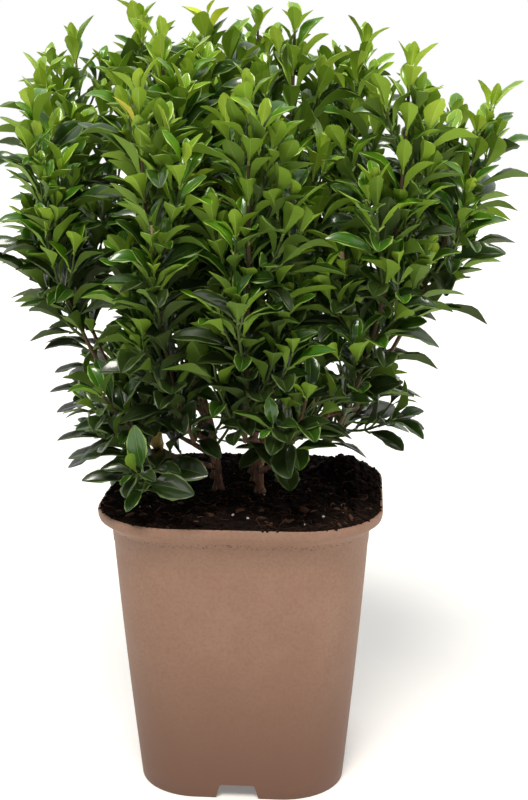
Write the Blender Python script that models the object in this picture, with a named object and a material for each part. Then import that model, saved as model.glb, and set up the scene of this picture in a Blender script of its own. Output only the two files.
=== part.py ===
"""A potted euonymus: a clump of leafy stems growing from compost in a square plastic pot.

Run it with  blender --background --python part.py
Units are metres and +Z is up. The origin is on the ground under the middle of the pot, and the
front of the plant faces -Y. Stems rise from the compost and carry boughs. Each stem or bough ends
where its mass of foliage begins: a leader with side twigs and opposite pairs of leaves.
"""

import math
import random

import bmesh
import bpy
import numpy as np
from mathutils import Matrix, Vector
from mathutils.bvhtree import BVHTree

# The pot, a tapering square box with round corners and a collar round its mouth
POT_HEIGHT = 0.166
RIM_WIDTH = 0.160
NECK_WIDTH = 0.145
BASE_WIDTH = 0.118
RIM_CORNER = 0.046
BASE_CORNER = 0.036
WALL = 0.0018
COLLAR_BAND = 0.0055
COLLAR_DROP = 0.0115
FLOOR_HEIGHT = 0.012
FLOOR_THICK = 0.002
FOOT_RADIUS = 0.018
NOTCH_HEIGHT = 0.0085
NOTCH_TOP = 0.0195
NOTCH_FOOT = 0.0245
DRAIN_RADIUS = 0.0045
DRAIN_RING = 0.034
DRAIN_COUNT = 8
CORNER_STEPS = 5
RIM_LEAN = 0.001
LIP_FACE = 0.0012
LIP_EDGE = 0.0008
NOTCH_DEPTH = 0.020
CUTTER_PAST = 0.004
DRAIN_SIDES = 8
FOOT_SIDES = 24
CREASE_DEG = 40.0

# The compost, which fills the pot and crowns a little above its rim
CLEAR = 0.0003
GROUND = 0.1655
SOIL_EDGE = 0.1625
SOIL_LUMP = 0.0040
SOIL_PLATEAU = 0.046
SOIL_RINGS = 5
SOIL_RISE_WIDTH = 0.020
SOIL_SIDE_CLEAR = 0.0005
SOIL_RIM_CLEAR = 0.0009

# Clods of compost at the back: the place, spread and size of each
CLODS = ((0.050, 0.044, 0.014, 1.9), (-0.046, 0.050, 0.010, 1.0))

# The clump: a ring of stems round a middle one. A tip is its distance from the clump's middle and
# its height
CLUMP_X = -0.001
CLUMP_Y = 0.014
STEM_COUNT = 5
STEM_RING = 0.021
STEM_START_DEG = -62.0
STEM_FOOT_R = 0.0040
STEM_R = 0.0025
STEM_TIP_R = 0.0016
STEM_TIP_HEIGHT = 0.226
STEM_TIP_RING = 0.036
MIDDLE_FOOT_RING = 0.006
MIDDLE_FOOT_DEG = 20.0
MIDDLE_STEM_TIP = (0.006, 110.0, 0.232)
FLARE_HEIGHT = 0.006
LIMB_BEVEL_STEPS = 1
LIMB_POINTS = 5

# Boughs leave their stem at these shares of its length
BOUGH_R = 0.0018
BOUGH_TIP_R = 0.0013
SIDE_BOUGH_AT = {"right": 0.42, "left": 0.60}
SIDE_BOUGH_END = (0.056, 0.208)
SIDE_TURN_DEG = 21.0
SIDE_RISE_DEG = 36.0
LOW_BOUGH_AT = 0.20
LOW_BOUGH_END = (0.042, 0.187)
LOW_TURN_DEG = 6.0
LOW_RISE_DEG = 24.0

# The leaders of the masses of foliage: where each kind ends, how far it bows out on the way, and
# how many degrees its leaves hang down
TOP_TIP = (0.060, 0.408)
TOP_TURN_DEG = 8.0
TOP_BELLY = 0.7
MIDDLE_TIP = (0.020, 0.418)
MIDDLE_TIP_DEG = 180.0
SIDE_TIP = (0.110, 0.384)
SIDE_BELLY = 0.92
RIGHT_BELLY = 0.60
LOW_TIP = (0.090, 0.232)
LOW_BELLY = 0.6
LOW_DROOP = 9.0
TIP_SWAY = 0.004
TIP_LIFT = 0.004
TIP_TURN_DEG = 4.0
LEADER_STRAIGHT = 0.010
LEADER_BEND_HEIGHT = 0.38

# Masses that stand out in the plant's outline: how much further out and higher they reach, and
# how many degrees they turn
STANDOUTS = {
    "4_right": (0.024, 0.022, 12.0),
    "4_left": (0.006, 0.000, 6.0),
    "5_right": (0.004, -0.016, 0.0),
    "5_left": (0.000, -0.008, 0.0),
    "1_right": (0.000, -0.004, 0.0),
    "1_left": (0.006, 0.008, 0.0),
    "2_right": (0.026, -0.014, 0.0),
    "2_left": (0.014, -0.020, -6.0),
    "3_right": (0.000, 0.008, 0.0),
    "3_left": (0.000, 0.008, 0.0),
    "4_top": (0.000, 0.012, 0.0),
    "5_top": (0.000, -0.004, 0.0),
    "1_top": (0.000, 0.000, -8.0),
    "2_top": (0.014, -0.006, 0.0),
    "3_top": (0.000, 0.004, 0.0),
    "2_low": (-0.012, -0.006, 0.0),
    "4_low": (0.008, 0.000, 0.0),
    "5_low": (0.014, 0.000, 0.0),
}

# Twigs and leaves
LEADER_R = 0.0014
LEADER_BARE = 0.010
TWIG_R = 0.0012
TWIG_TIP_R = 0.0009
TWIG_SIDES = 4
CROWD_SIDES = 8
TWIG_POINTS = 3
TWIG_BARE = 0.013
TWIG_LENGTH = 0.042
TWIG_ANGLE_DEG = 48.0
TWIG_SPACING = 0.046
TWIG_FREE_TOP = 0.6
TWIG_BEND_AT = 0.55
GOLDEN_DEG = 137.5
PAIR_SPACING = 0.0210
TWIG_PAIR_SPACING = 0.0185
TOP_PAIR_DOWN = 0.0020
LEAF_LENGTH = 0.0385
LEAF_WIDTH = 0.020
LEAF_THICK = 0.0014
LEAF_WIDEST = 0.50
LEAF_KEEL = 0.36
LEAF_END = 0.93
LEAF_END_SHARE = 0.42
LEAF_ARCH = 0.09
LEAF_DROOP = 0.04
LEAF_ANGLE_DEG = 64.0
LEAF_CLOSING_DEG = 28.0
LEAF_ROLL_DEG = 14.0
YOUNG_SHRINK = 0.22
BLADE_FROM = 0.12

# What a mass keeps clear of, and how often it tries
LOWEST_LEAF = 0.1735
SPACE_SHARED = 0.012
LIMB_MARGIN = 0.0006
BLADE_ROOM = 0.0004
TWIG_CLEAR_FROM = 0.1
GROW_TRIES = 6
DRAWS = 16
SMALLEST_EDGE = 0.000003
SEED = 17

GREEN = (0.07, 0.19, 0.03, 1)
BARK = (0.24, 0.13, 0.07, 1)
POT_TAUPE = (0.33, 0.20, 0.13, 1)
COMPOST = (0.022, 0.013, 0.010, 1)


def material(name, colour, roughness):
    """A plain Principled material."""
    made = bpy.data.materials.new(name)
    made.use_nodes = True
    shader = made.node_tree.nodes["Principled BSDF"]
    shader.inputs["Base Color"].default_value = colour
    shader.inputs["Roughness"].default_value = roughness
    return made


def link(name, data, collection, finish):
    """A new object in a collection, with its material."""
    made = bpy.data.objects.new(name, data)
    collection.objects.link(made)
    if not data.materials:
        data.materials.append(finish)
    return made


def rounded_square(width, corner):
    """Outline of a square with round corners, as (x, y) from the +X side round to +Y and on."""
    straight = width / 2 - corner
    points = []
    for quarter in range(4):
        turn = quarter * math.pi / 2
        cx, cy = ((1, 1), (-1, 1), (-1, -1), (1, -1))[quarter]
        for step in range(CORNER_STEPS + 1):
            angle = turn + step * math.pi / 2 / CORNER_STEPS
            x = cx * straight + corner * math.cos(angle)
            y = cy * straight + corner * math.sin(angle)
            points.append((x, y))
    return points


def round_off(data):
    """Shades a mesh smooth, but for its sharp edges."""
    data.shade_smooth()
    data.set_sharp_from_angle(angle=math.radians(CREASE_DEG))


def loft(sections, name):
    """A closed mesh through rounded squares, given as (width, corner, height), with flat end caps."""
    mesh = bmesh.new()
    rings = []
    for width, corner, height in sections:
        rings.append([mesh.verts.new((x, y, height)) for x, y in rounded_square(width, corner)])
    for low, high in zip(rings, rings[1:]):
        for index, corner_vert in enumerate(low):
            after = (index + 1) % len(low)
            mesh.faces.new((corner_vert, low[after], high[after], high[index]))
    mesh.faces.new(list(reversed(rings[0])))
    mesh.faces.new(rings[-1])
    bmesh.ops.recalc_face_normals(mesh, faces=mesh.faces)
    data = bpy.data.meshes.new(name)
    mesh.to_mesh(data)
    mesh.free()
    round_off(data)
    return data


def wall_corner(width):
    """Corner radius of the pot's wall where it is this wide."""
    share = (width - BASE_WIDTH) / (RIM_WIDTH - BASE_WIDTH)
    return BASE_CORNER + share * (RIM_CORNER - BASE_CORNER)


def wall_width(height):
    """Outer width of the pot's tapering wall at a height."""
    return BASE_WIDTH + (NECK_WIDTH - BASE_WIDTH) * height / (POT_HEIGHT - COLLAR_DROP)


def inside(width, corner, inset):
    """The same rounded square moved inwards by inset all round."""
    return width - 2 * inset, corner - inset


def pot_profile():
    """Sections of the pot, from the underside of its floor, out round the skirt, up and over the
    rim, and down inside to the floor."""
    neck = POT_HEIGHT - COLLAR_DROP
    band = POT_HEIGHT - COLLAR_BAND
    under = FLOOR_HEIGHT - FLOOR_THICK
    outer = [
        (BASE_WIDTH, wall_corner(BASE_WIDTH), 0.0),
        (NECK_WIDTH, wall_corner(NECK_WIDTH), neck),
        (RIM_WIDTH - RIM_LEAN, RIM_CORNER, band),
        (RIM_WIDTH, RIM_CORNER, POT_HEIGHT - LIP_EDGE),
    ]
    skirt = [
        (*inside(wall_width(under), wall_corner(wall_width(under)), WALL), under),
        (*inside(BASE_WIDTH, wall_corner(BASE_WIDTH), WALL), 0.0),
    ]
    lip = [
        (RIM_WIDTH - LIP_FACE, RIM_CORNER, POT_HEIGHT),
        (*inside(RIM_WIDTH, RIM_CORNER, WALL), POT_HEIGHT),
    ]
    inner = [
        (*inside(RIM_WIDTH - RIM_LEAN, RIM_CORNER, WALL), band),
        (*inside(NECK_WIDTH, wall_corner(NECK_WIDTH), WALL), neck - RIM_LEAN),
        (*inside(wall_width(FLOOR_HEIGHT), wall_corner(wall_width(FLOOR_HEIGHT)), WALL), FLOOR_HEIGHT),
    ]
    return skirt + outer + lip + inner


def cutter(data, name, place, guides):
    """A hidden object that cuts the pot."""
    made = bpy.data.objects.new(name, data)
    made.matrix_world = place
    made.hide_render = True
    made.display_type = "WIRE"
    guides.objects.link(made)
    return made


def notch_mesh():
    """A drain notch's cutter: a wedge, wider at the ground, through one side of the skirt."""
    mesh = bmesh.new()
    bmesh.ops.create_cube(mesh, size=1.0)
    slope = (NOTCH_FOOT - NOTCH_TOP) / NOTCH_HEIGHT
    for vert in mesh.verts:
        height = NOTCH_HEIGHT if vert.co.z > 0 else -CUTTER_PAST
        half = (NOTCH_TOP + slope * (NOTCH_HEIGHT - height)) / 2
        vert.co = (math.copysign(half, vert.co.x), vert.co.y * NOTCH_DEPTH, height)
    data = bpy.data.meshes.new("notch_cutter")
    mesh.to_mesh(data)
    mesh.free()
    return data


def cylinder_mesh(name, radius, low, high, sides):
    """A closed upright cylinder between two heights."""
    mesh = bmesh.new()
    bmesh.ops.create_cone(
        mesh,
        cap_ends=True,
        segments=sides,
        radius1=radius,
        radius2=radius,
        depth=high - low,
        matrix=Matrix.Translation((0, 0, (low + high) / 2)),
    )
    data = bpy.data.meshes.new(name)
    mesh.to_mesh(data)
    mesh.free()
    round_off(data)
    return data


def build_pot(parts, guides):
    """The pot: tapering wall, collar, raised floor with drain holes, notched skirt, middle foot."""
    plastic = material("moulded_plastic", POT_TAUPE, 0.6)
    pot = link("pot", loft(pot_profile(), "pot"), parts, plastic)
    cutters = []
    notch = notch_mesh()
    for side in range(4):
        turn = Matrix.Rotation(side * math.pi / 2, 4, "Z")
        place = turn @ Matrix.Translation((0, -BASE_WIDTH / 2, 0))
        cutters.append(cutter(notch, f"notch_{side}", place, guides))
    drain_top = FLOOR_HEIGHT + CUTTER_PAST
    drain = cylinder_mesh("drain_cutter", DRAIN_RADIUS, CUTTER_PAST, drain_top, DRAIN_SIDES)
    for hole in range(DRAIN_COUNT):
        turn = Matrix.Rotation((hole + 0.5) * 2 * math.pi / DRAIN_COUNT, 4, "Z")
        place = turn @ Matrix.Translation((DRAIN_RING, 0, 0))
        cutters.append(cutter(drain, f"drain_{hole}", place, guides))
    foot_mesh = cylinder_mesh("foot", FOOT_RADIUS, 0, FLOOR_HEIGHT - FLOOR_THICK / 2, FOOT_SIDES)
    foot = cutter(foot_mesh, "foot", Matrix.Identity(4), guides)
    join = pot.modifiers.new("middle_foot", "BOOLEAN")
    join.operation = "UNION"
    join.object = foot
    for tool in cutters:
        cut = pot.modifiers.new(tool.name, "BOOLEAN")
        cut.operation = "DIFFERENCE"
        cut.object = tool
    return pot


def soil_height(x, y):
    """Height of the compost's top: level where the stems stand, lumpy towards the rim, with one
    clod in the back right corner and a smaller one at the back left."""
    far = math.hypot(x - CLUMP_X, y - CLUMP_Y)
    share = min(1.0, max(0.0, (far - SOIL_PLATEAU) / SOIL_RISE_WIDTH))
    ripple = math.sin(x * 310 + 1.3) * math.cos(y * 270 - 0.6) + 0.6 * math.sin(x * 150 - y * 190)
    raised = 0.25 * ripple
    for clod_x, clod_y, spread, size in CLODS:
        raised += size * math.exp(-((x - clod_x) ** 2 + (y - clod_y) ** 2) / spread**2)
    raised *= SOIL_LUMP
    return GROUND + share * (raised - (GROUND - SOIL_EDGE) * 0.5)


def build_soil(parts):
    """The compost: the pot's inside shape, with a lumpy top made of shrinking rounded squares."""
    floor = FLOOR_HEIGHT + CLEAR
    neck = POT_HEIGHT - COLLAR_DROP - RIM_LEAN
    band = POT_HEIGHT - COLLAR_BAND + CLEAR
    side = WALL + SOIL_SIDE_CLEAR
    rim = WALL + SOIL_RIM_CLEAR
    sections = [
        (*inside(wall_width(floor), wall_corner(wall_width(floor)), side), floor),
        (*inside(NECK_WIDTH, wall_corner(NECK_WIDTH), side), neck),
        (*inside(RIM_WIDTH - RIM_LEAN, RIM_CORNER, rim), band),
        (*inside(RIM_WIDTH, RIM_CORNER, rim), SOIL_EDGE),
    ]
    mesh = bmesh.new()
    rings = [[mesh.verts.new((x, y, z)) for x, y in rounded_square(w, r)] for w, r, z in sections]
    edge_width, edge_corner, _ = sections[-1]
    for ring in range(1, SOIL_RINGS):
        share = 1 - ring / SOIL_RINGS
        outline = rounded_square(edge_width * share, edge_corner * share)
        rings.append([mesh.verts.new((x, y, soil_height(x, y))) for x, y in outline])
    for low, high in zip(rings, rings[1:]):
        for index, vert in enumerate(low):
            after = (index + 1) % len(low)
            mesh.faces.new((vert, low[after], high[after], high[index]))
    mesh.faces.new(list(reversed(rings[0])))
    mesh.faces.new(rings[-1])
    bmesh.ops.recalc_face_normals(mesh, faces=mesh.faces)
    data = bpy.data.meshes.new("soil")
    mesh.to_mesh(data)
    mesh.free()
    return link("soil", data, parts, material("compost", COMPOST, 0.95))


def bezier(start, bend, end, count):
    """Points along a quadratic curve that leaves start towards bend and reaches end."""
    points = []
    for index in range(count):
        t = index / (count - 1)
        points.append(start * (1 - t) ** 2 + bend * (2 * t * (1 - t)) + end * t**2)
    return points


def polar(radius, degrees, height):
    """A point round the clump's middle. Degrees run from +X towards +Y."""
    angle = math.radians(degrees)
    return Vector((CLUMP_X + radius * math.cos(angle), CLUMP_Y + radius * math.sin(angle), height))


class Run:
    """A tapering run of points: a stem, bough, leader or twig, with a radius at each point. Its ends
    are cut square and its other rings all face one way, so that the sides between them are flat."""

    def __init__(self, points, start_radius, end_radius, axis=None):
        self.points = points
        last = len(points) - 1
        self.radii = [start_radius + (end_radius - start_radius) * index / last for index in range(last + 1)]
        self.axis = (axis or points[-1] - points[0]).normalized()
        self.side = self.axis.orthogonal().normalized()
        self.other = self.axis.cross(self.side)

    @property
    def length(self):
        """Length along the points."""
        return sum((b - a).length for a, b in zip(self.points, self.points[1:]))

    def at(self, distance):
        """Point, direction and radius at a distance from the start."""
        for index, (a, b) in enumerate(zip(self.points, self.points[1:])):
            step = (b - a).length
            if distance <= step or index == len(self.points) - 2:
                part = min(distance / step, 1.0)
                radius = self.radii[index] + part * (self.radii[index + 1] - self.radii[index])
                return a.lerp(b, part), (b - a).normalized(), radius
            distance -= step

    def outward(self, way, degrees):
        """Direction out of the run's side, square to its way there."""
        angle = math.radians(degrees)
        out = self.side * math.cos(angle) + self.other * math.sin(angle)
        return (out - way * out.dot(way)).normalized()

    def ring_ways(self, index):
        """The two directions across the ring at a point."""
        if index not in (0, len(self.points) - 1):
            return self.side, self.other
        before = max(index - 1, 0)
        way = (self.points[before + 1] - self.points[before]).normalized()
        side = (self.side - way * self.side.dot(way)).normalized()
        return side, way.cross(side)

    def shell(self, sides):
        """Vertices and faces of the closed tube round the run, with flat ends."""
        vertices, faces = [], []
        for index, (point, radius) in enumerate(zip(self.points, self.radii)):
            side, other = self.ring_ways(index)
            for number in range(sides):
                angle = 2 * math.pi * number / sides
                vertices.append(point + (side * math.cos(angle) + other * math.sin(angle)) * radius)
        for ring in range(len(self.points) - 1):
            for number in range(sides):
                after = (number + 1) % sides
                low = ring * sides
                faces.append((low + number, low + after, low + sides + after, low + sides + number))
        faces.append(tuple(reversed(range(sides))))
        faces.append(tuple(range(len(vertices) - sides, len(vertices))))
        return vertices, faces

    def mesh(self, name, sides):
        """The flat-sided tube as a mesh, which keeps a union of many twigs light."""
        data = bpy.data.meshes.new(name)
        vertices, faces = self.shell(sides)
        data.from_pydata(vertices, [], faces)
        return data

    def curve(self, name):
        """The run as a curve with a round section and filled ends."""
        data = bpy.data.curves.new(name, "CURVE")
        data.dimensions = "3D"
        data.bevel_depth = 1.0
        data.bevel_resolution = LIMB_BEVEL_STEPS
        data.use_fill_caps = True
        spline = data.splines.new("POLY")
        spline.points.add(len(self.points) - 1)
        for spot, point, radius in zip(spline.points, self.points, self.radii):
            spot.co = (*point, 1.0)
            spot.radius = radius
        return data


class Mass:
    """A mass of foliage: its name, its leader and how far its leaves hang down."""

    def __init__(self, name, leader, droop):
        self.name = name
        self.leader = leader
        self.droop = droop


def grow_stem(foot, tip):
    """A stem with a root flare, a level cut at its foot and a slight outward bow."""
    above = foot + Vector((0, 0, FLARE_HEIGHT))
    bend = above + Vector(((tip.x - foot.x) * 0.2, (tip.y - foot.y) * 0.2, (tip.z - foot.z) * 0.6))
    flare = [foot, foot + Vector((0, 0, FLARE_HEIGHT / 2))]
    points = flare + bezier(above, bend, tip, LIMB_POINTS)
    stem = Run(points, STEM_R, STEM_TIP_R, Vector((0, 0, 1)))
    stem.radii[0] = STEM_FOOT_R
    stem.radii[1] = (STEM_FOOT_R + 2 * STEM_R) / 3
    return stem


def grow_bough(stem, share, end, rise_deg):
    """A bough that starts just clear of its stem's side and runs to its end."""
    point, stem_way, stem_radius = stem.at(stem.length * share)
    level = Vector((end.x - point.x, end.y - point.y, 0)).normalized()
    rise = math.radians(rise_deg)
    way = level * math.cos(rise) + Vector((0, 0, math.sin(rise)))
    slant = way.dot(stem_way)
    gap = (stem_radius + CLEAR + BOUGH_R * slant) / math.sqrt(1 - slant**2)
    start = point + way * gap
    bend = start.lerp(start + way * (end - start).length, 0.5)
    return Run(bezier(start, bend, end, LIMB_POINTS), BOUGH_R, BOUGH_TIP_R)


def grow_leader(limb, tip, belly):
    """A leader that carries on from a limb's tip, just clear of it, bows out and ends upright."""
    way = (limb.points[-1] - limb.points[-2]).normalized()
    start = limb.points[-1] + way * CLEAR
    ahead = start + way * LEADER_STRAIGHT
    level = Vector((tip.x - ahead.x, tip.y - ahead.y, 0))
    bend = ahead + level * belly + Vector((0, 0, (tip.z - ahead.z) * LEADER_BEND_HEIGHT))
    return Run([start] + bezier(ahead, bend, tip, LIMB_POINTS), LEADER_R, TWIG_TIP_R)


class Frame:
    """The plant's limbs and the leaders of its masses, grown from the sizes at the top."""

    def __init__(self):
        self.draws = random.Random(SEED)
        self.limbs = {}
        self.masses = []
        ground = GROUND + CLEAR
        foot = polar(MIDDLE_FOOT_RING, MIDDLE_FOOT_DEG, ground)
        middle = grow_stem(foot, polar(*MIDDLE_STEM_TIP))
        self.limbs["stem_middle"] = middle
        self.add_mass("middle", middle, MIDDLE_TIP_DEG, MIDDLE_TIP, TOP_BELLY, 0.0)
        for number in range(1, STEM_COUNT + 1):
            self.add_stem(number, STEM_START_DEG + (number - 1) * 360 / STEM_COUNT, ground)

    def add_stem(self, number, degrees, ground):
        """One stem of the ring, with its top mass, two side boughs and a low bough."""
        lift = self.draws.uniform(-TIP_LIFT, TIP_LIFT)
        tip = polar(STEM_TIP_RING, degrees, STEM_TIP_HEIGHT + lift)
        stem = grow_stem(polar(STEM_RING, degrees, ground), tip)
        self.limbs[f"stem_{number}"] = stem
        self.add_mass(f"{number}_top", stem, degrees + TOP_TURN_DEG, TOP_TIP, TOP_BELLY, 0.0)
        for side, turn in (("right", -SIDE_TURN_DEG), ("left", SIDE_TURN_DEG)):
            end = polar(SIDE_BOUGH_END[0], degrees + turn, SIDE_BOUGH_END[1] + lift)
            bough = grow_bough(stem, SIDE_BOUGH_AT[side], end, SIDE_RISE_DEG)
            self.limbs[f"bough_{number}_{side}"] = bough
            belly = RIGHT_BELLY if number == 2 else SIDE_BELLY
            self.add_mass(f"{number}_{side}", bough, degrees + turn, SIDE_TIP, belly, 0.0)
        heading = degrees + self.draws.uniform(-LOW_TURN_DEG, LOW_TURN_DEG)
        end = polar(LOW_BOUGH_END[0], heading, LOW_BOUGH_END[1])
        bough = grow_bough(stem, LOW_BOUGH_AT, end, LOW_RISE_DEG)
        self.limbs[f"bough_{number}_low"] = bough
        self.add_mass(f"{number}_low", bough, heading, LOW_TIP, LOW_BELLY, LOW_DROOP)

    def add_mass(self, place, limb, degrees, tip, belly, droop):
        """A mass on a limb's tip. It reaches its ring's tip, swayed a little, or stands out more."""
        out, up, turn = STANDOUTS.get(place, (0.0, 0.0, 0.0))
        reach = tip[0] + out + self.draws.uniform(-TIP_SWAY, TIP_SWAY)
        height = tip[1] + up + self.draws.uniform(-TIP_LIFT, TIP_LIFT)
        turned = degrees + turn + self.draws.uniform(-TIP_TURN_DEG, TIP_TURN_DEG)
        leader = grow_leader(limb, polar(reach, turned, height), belly)
        self.masses.append(Mass(f"foliage_{place}", leader, droop))


class Space:
    """Says which points belong to a mass: those nearer its leader than any other's, but for a
    shared border, and clear of every limb, of other leaders and of the compost."""

    def __init__(self, limbs, masses):
        self.leaders = self.segments([mass.leader for mass in masses])
        self.owners = np.repeat(np.arange(len(masses)), [len(mass.leader.points) - 1 for mass in masses])
        self.limbs = self.segments(limbs)
        self.limb_radii = np.array([radius for limb in limbs for radius in limb.radii[:-1]])

    @staticmethod
    def segments(runs):
        """Start and end points of all the steps of some runs."""
        starts = [point for run in runs for point in run.points[:-1]]
        ends = [point for run in runs for point in run.points[1:]]
        return np.array(starts), np.array(ends)

    @staticmethod
    def distances(points, segments):
        """Distance from each point to each segment."""
        starts, ends = segments
        steps = ends - starts
        offsets = points[:, None, :] - starts[None]
        shares = np.clip((offsets * steps).sum(2) / (steps * steps).sum(1), 0, 1)
        return np.linalg.norm(offsets - shares[..., None] * steps, axis=2)

    def holds(self, owner, points, margin):
        """True if all the points lie in the owner's space, this far inside it."""
        points = np.array(points)
        if (points[:, 2] < LOWEST_LEAF + margin).any():
            return False
        if (self.distances(points, self.limbs) < self.limb_radii + LIMB_MARGIN + margin).any():
            return False
        reaches = self.distances(points, self.leaders)
        own = reaches[:, self.owners == owner].min(1)
        others = reaches[:, self.owners != owner].min(1)
        return bool((others > np.maximum(own - SPACE_SHARED, LIMB_MARGIN + LEADER_R)).all())


def leaf_corners():
    """Corners of the unit leaf along +X, its upper side up: root, left and right edges, left and
    right of its blunt tip, and a keel under the midrib."""
    half = LEAF_WIDTH / LEAF_LENGTH / 2
    end = half * LEAF_END_SHARE
    low = LEAF_ARCH * LEAF_KEEL / LEAF_WIDEST - LEAF_THICK / LEAF_LENGTH
    return [
        Vector((0, 0, 0)),
        Vector((LEAF_WIDEST, half, LEAF_ARCH)),
        Vector((LEAF_WIDEST, -half, LEAF_ARCH)),
        Vector((LEAF_END, end, -LEAF_DROOP)),
        Vector((LEAF_END, -end, -LEAF_DROOP)),
        Vector((LEAF_KEEL, 0, low)),
    ]


LEAF_FACES = [
    (0, 2, 1),
    (1, 2, 4, 3),
    (0, 1, 5),
    (0, 5, 2),
    (1, 3, 5),
    (2, 5, 4),
    (3, 4, 5),
]


def leaf_mesh():
    """The unit leaf as a mesh."""
    data = bpy.data.meshes.new("leaf")
    data.from_pydata(leaf_corners(), [], LEAF_FACES)
    return data


class Crowd:
    """All that has grown so far, so that a new shape can be kept from touching it."""

    def __init__(self):
        self.trees = []
        self.middles = []
        self.reaches = []

    def add(self, tree, points):
        """Adds a shape, given its search tree and its corners, and returns its number."""
        middle, reach = self.ball(points)
        self.trees.append(tree)
        self.middles.append(middle)
        self.reaches.append(reach)
        return len(self.trees) - 1

    def cut_back(self, count):
        """Drops all but the first count shapes."""
        del self.trees[count:]
        del self.middles[count:]
        del self.reaches[count:]

    @staticmethod
    def ball(points):
        """Middle and radius of a ball round some points."""
        middle = sum(points, Vector()) / len(points)
        return middle, max((point - middle).length for point in points)

    def is_free(self, tree, points, home):
        """True if a shape touches nothing that has grown but its home, which it grows from."""
        middle, reach = self.ball(points)
        apart = np.linalg.norm(np.array(self.middles) - np.array(middle), axis=1)
        near = np.nonzero(apart < np.array(self.reaches) + reach)[0]
        return not any(tree.overlap(self.trees[index]) for index in near if index != home)


class Grower:
    """Grows one mass: side twigs round the leader, then pairs of leaves on the leader and twigs.
    Each is left out where it would leave the mass's space or touch what has grown."""

    def __init__(self, mass, index, home, space, crowd, seed):
        self.mass = mass
        self.index = index
        self.home = home
        self.space = space
        self.crowd = crowd
        self.draws = random.Random(seed)
        self.twigs = []
        self.leaves = []
        root, left, right, end_left, end_right, keel = leaf_corners()
        outer = [left.lerp(end_left, 0.5), right.lerp(end_right, 0.5)]
        halves = outer + [left.lerp(root, 0.5), right.lerp(root, 0.5)]
        self.blade = [root.lerp(keel, BLADE_FROM), left, right, end_left, end_right, keel, *halves]
        lifted = Vector((0, 0, BLADE_ROOM / LEAF_LENGTH))
        self.blade[5] = keel - lifted
        for corner in range(1, 5):
            self.blade[corner] = self.blade[corner] + lifted

    def grow(self):
        """Grows the twigs and then the leaves, the leader's own pairs first."""
        leader = self.mass.leader
        count = max(2, round((leader.length - LEADER_BARE) / TWIG_SPACING))
        turn = self.draws.uniform(0, 360)
        for number in range(count):
            room = leader.length - LEADER_BARE - TWIG_LENGTH * TWIG_FREE_TOP
            self.add_twig(LEADER_BARE + room * (number + 0.5) / count, turn)
            turn += GOLDEN_DEG
        self.add_pairs(leader, self.home, LEADER_BARE, PAIR_SPACING)
        for twig, home in self.twigs:
            self.add_pairs(twig, home, TWIG_BARE, TWIG_PAIR_SPACING)

    def add_twig(self, distance, turn):
        """A twig that leaves the leader sideways and bends up, if one of a few tries is free."""
        leader = self.mass.leader
        point, way, _ = leader.at(distance)
        for attempt in range(GROW_TRIES):
            out = leader.outward(way, turn + attempt * 47)
            leaving = math.radians(TWIG_ANGLE_DEG + self.draws.uniform(-8, 8))
            length = TWIG_LENGTH * self.draws.uniform(0.75, 1.2)
            heading = way * math.cos(leaving) + out * math.sin(leaving)
            bend = point + heading * (length * TWIG_BEND_AT)
            tip = bend + (heading * 0.5 + Vector((0, 0, 0.75))).normalized() * (length * 0.5)
            twig = Run(bezier(point, bend, tip, TWIG_POINTS), TWIG_R, TWIG_TIP_R)
            outer = Run([point.lerp(bend, TWIG_CLEAR_FROM), *twig.points[1:]], TWIG_R, TWIG_TIP_R)
            shell, faces = outer.shell(TWIG_SIDES)
            tree = BVHTree.FromPolygons(shell, faces)
            held = self.space.holds(self.index, outer.points, TWIG_R)
            if held and self.crowd.is_free(tree, shell, self.home):
                self.twigs.append((twig, self.crowd.add(tree, shell)))
                return

    def add_pairs(self, run, home, bare, spacing):
        """Opposite pairs of leaves up a run, each pair turned a quarter from the last."""
        count = max(1, round((run.length - bare) / spacing))
        quarter = self.draws.choice((0, 90))
        for number in range(count + 1):
            share = number / count
            distance = bare + (run.length - bare - TOP_PAIR_DOWN) * share
            for half_turn in (0, 180):
                self.add_leaf(run, home, distance, share, 45 + quarter + 90 * number + half_turn)

    def add_leaf(self, run, home, distance, share, turn):
        """A leaf out of a run's side, if one of a few tries is free. Higher leaves stand steeper and
        are smaller."""
        point, way, _ = run.at(distance)
        size = LEAF_LENGTH * self.draws.uniform(0.86, 1.12) * (1 - YOUNG_SHRINK * share**3)
        for attempt in range(GROW_TRIES):
            out = run.outward(way, turn + self.draws.uniform(-9, 9) * (1 + attempt))
            slope = LEAF_ANGLE_DEG - LEAF_CLOSING_DEG * share + self.mass.droop + self.draws.uniform(-8, 8)
            place = self.leaf_place(point, way, out, math.radians(slope), size * (1 - 0.04 * attempt))
            spots = [place @ spot for spot in self.blade]
            tree = BVHTree.FromPolygons(spots[:6], LEAF_FACES)
            if self.space.holds(self.index, spots[1:], 0) and self.crowd.is_free(tree, spots, home):
                self.leaves.append(place)
                self.crowd.add(tree, spots)
                return

    def leaf_place(self, point, way, out, slope, size):
        """Matrix that stands the unit leaf on a run's axis, its upper side towards the tip."""
        forward = way * math.cos(slope) + out * math.sin(slope)
        upper = way * math.sin(slope) - out * math.cos(slope)
        frame = Matrix((forward, upper.cross(forward), upper)).transposed().to_4x4()
        roll = Matrix.Rotation(math.radians(self.draws.uniform(-LEAF_ROLL_DEG, LEAF_ROLL_DEG)), 4, "X")
        return Matrix.Translation(point) @ frame @ roll @ Matrix.Scale(size, 4)


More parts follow.
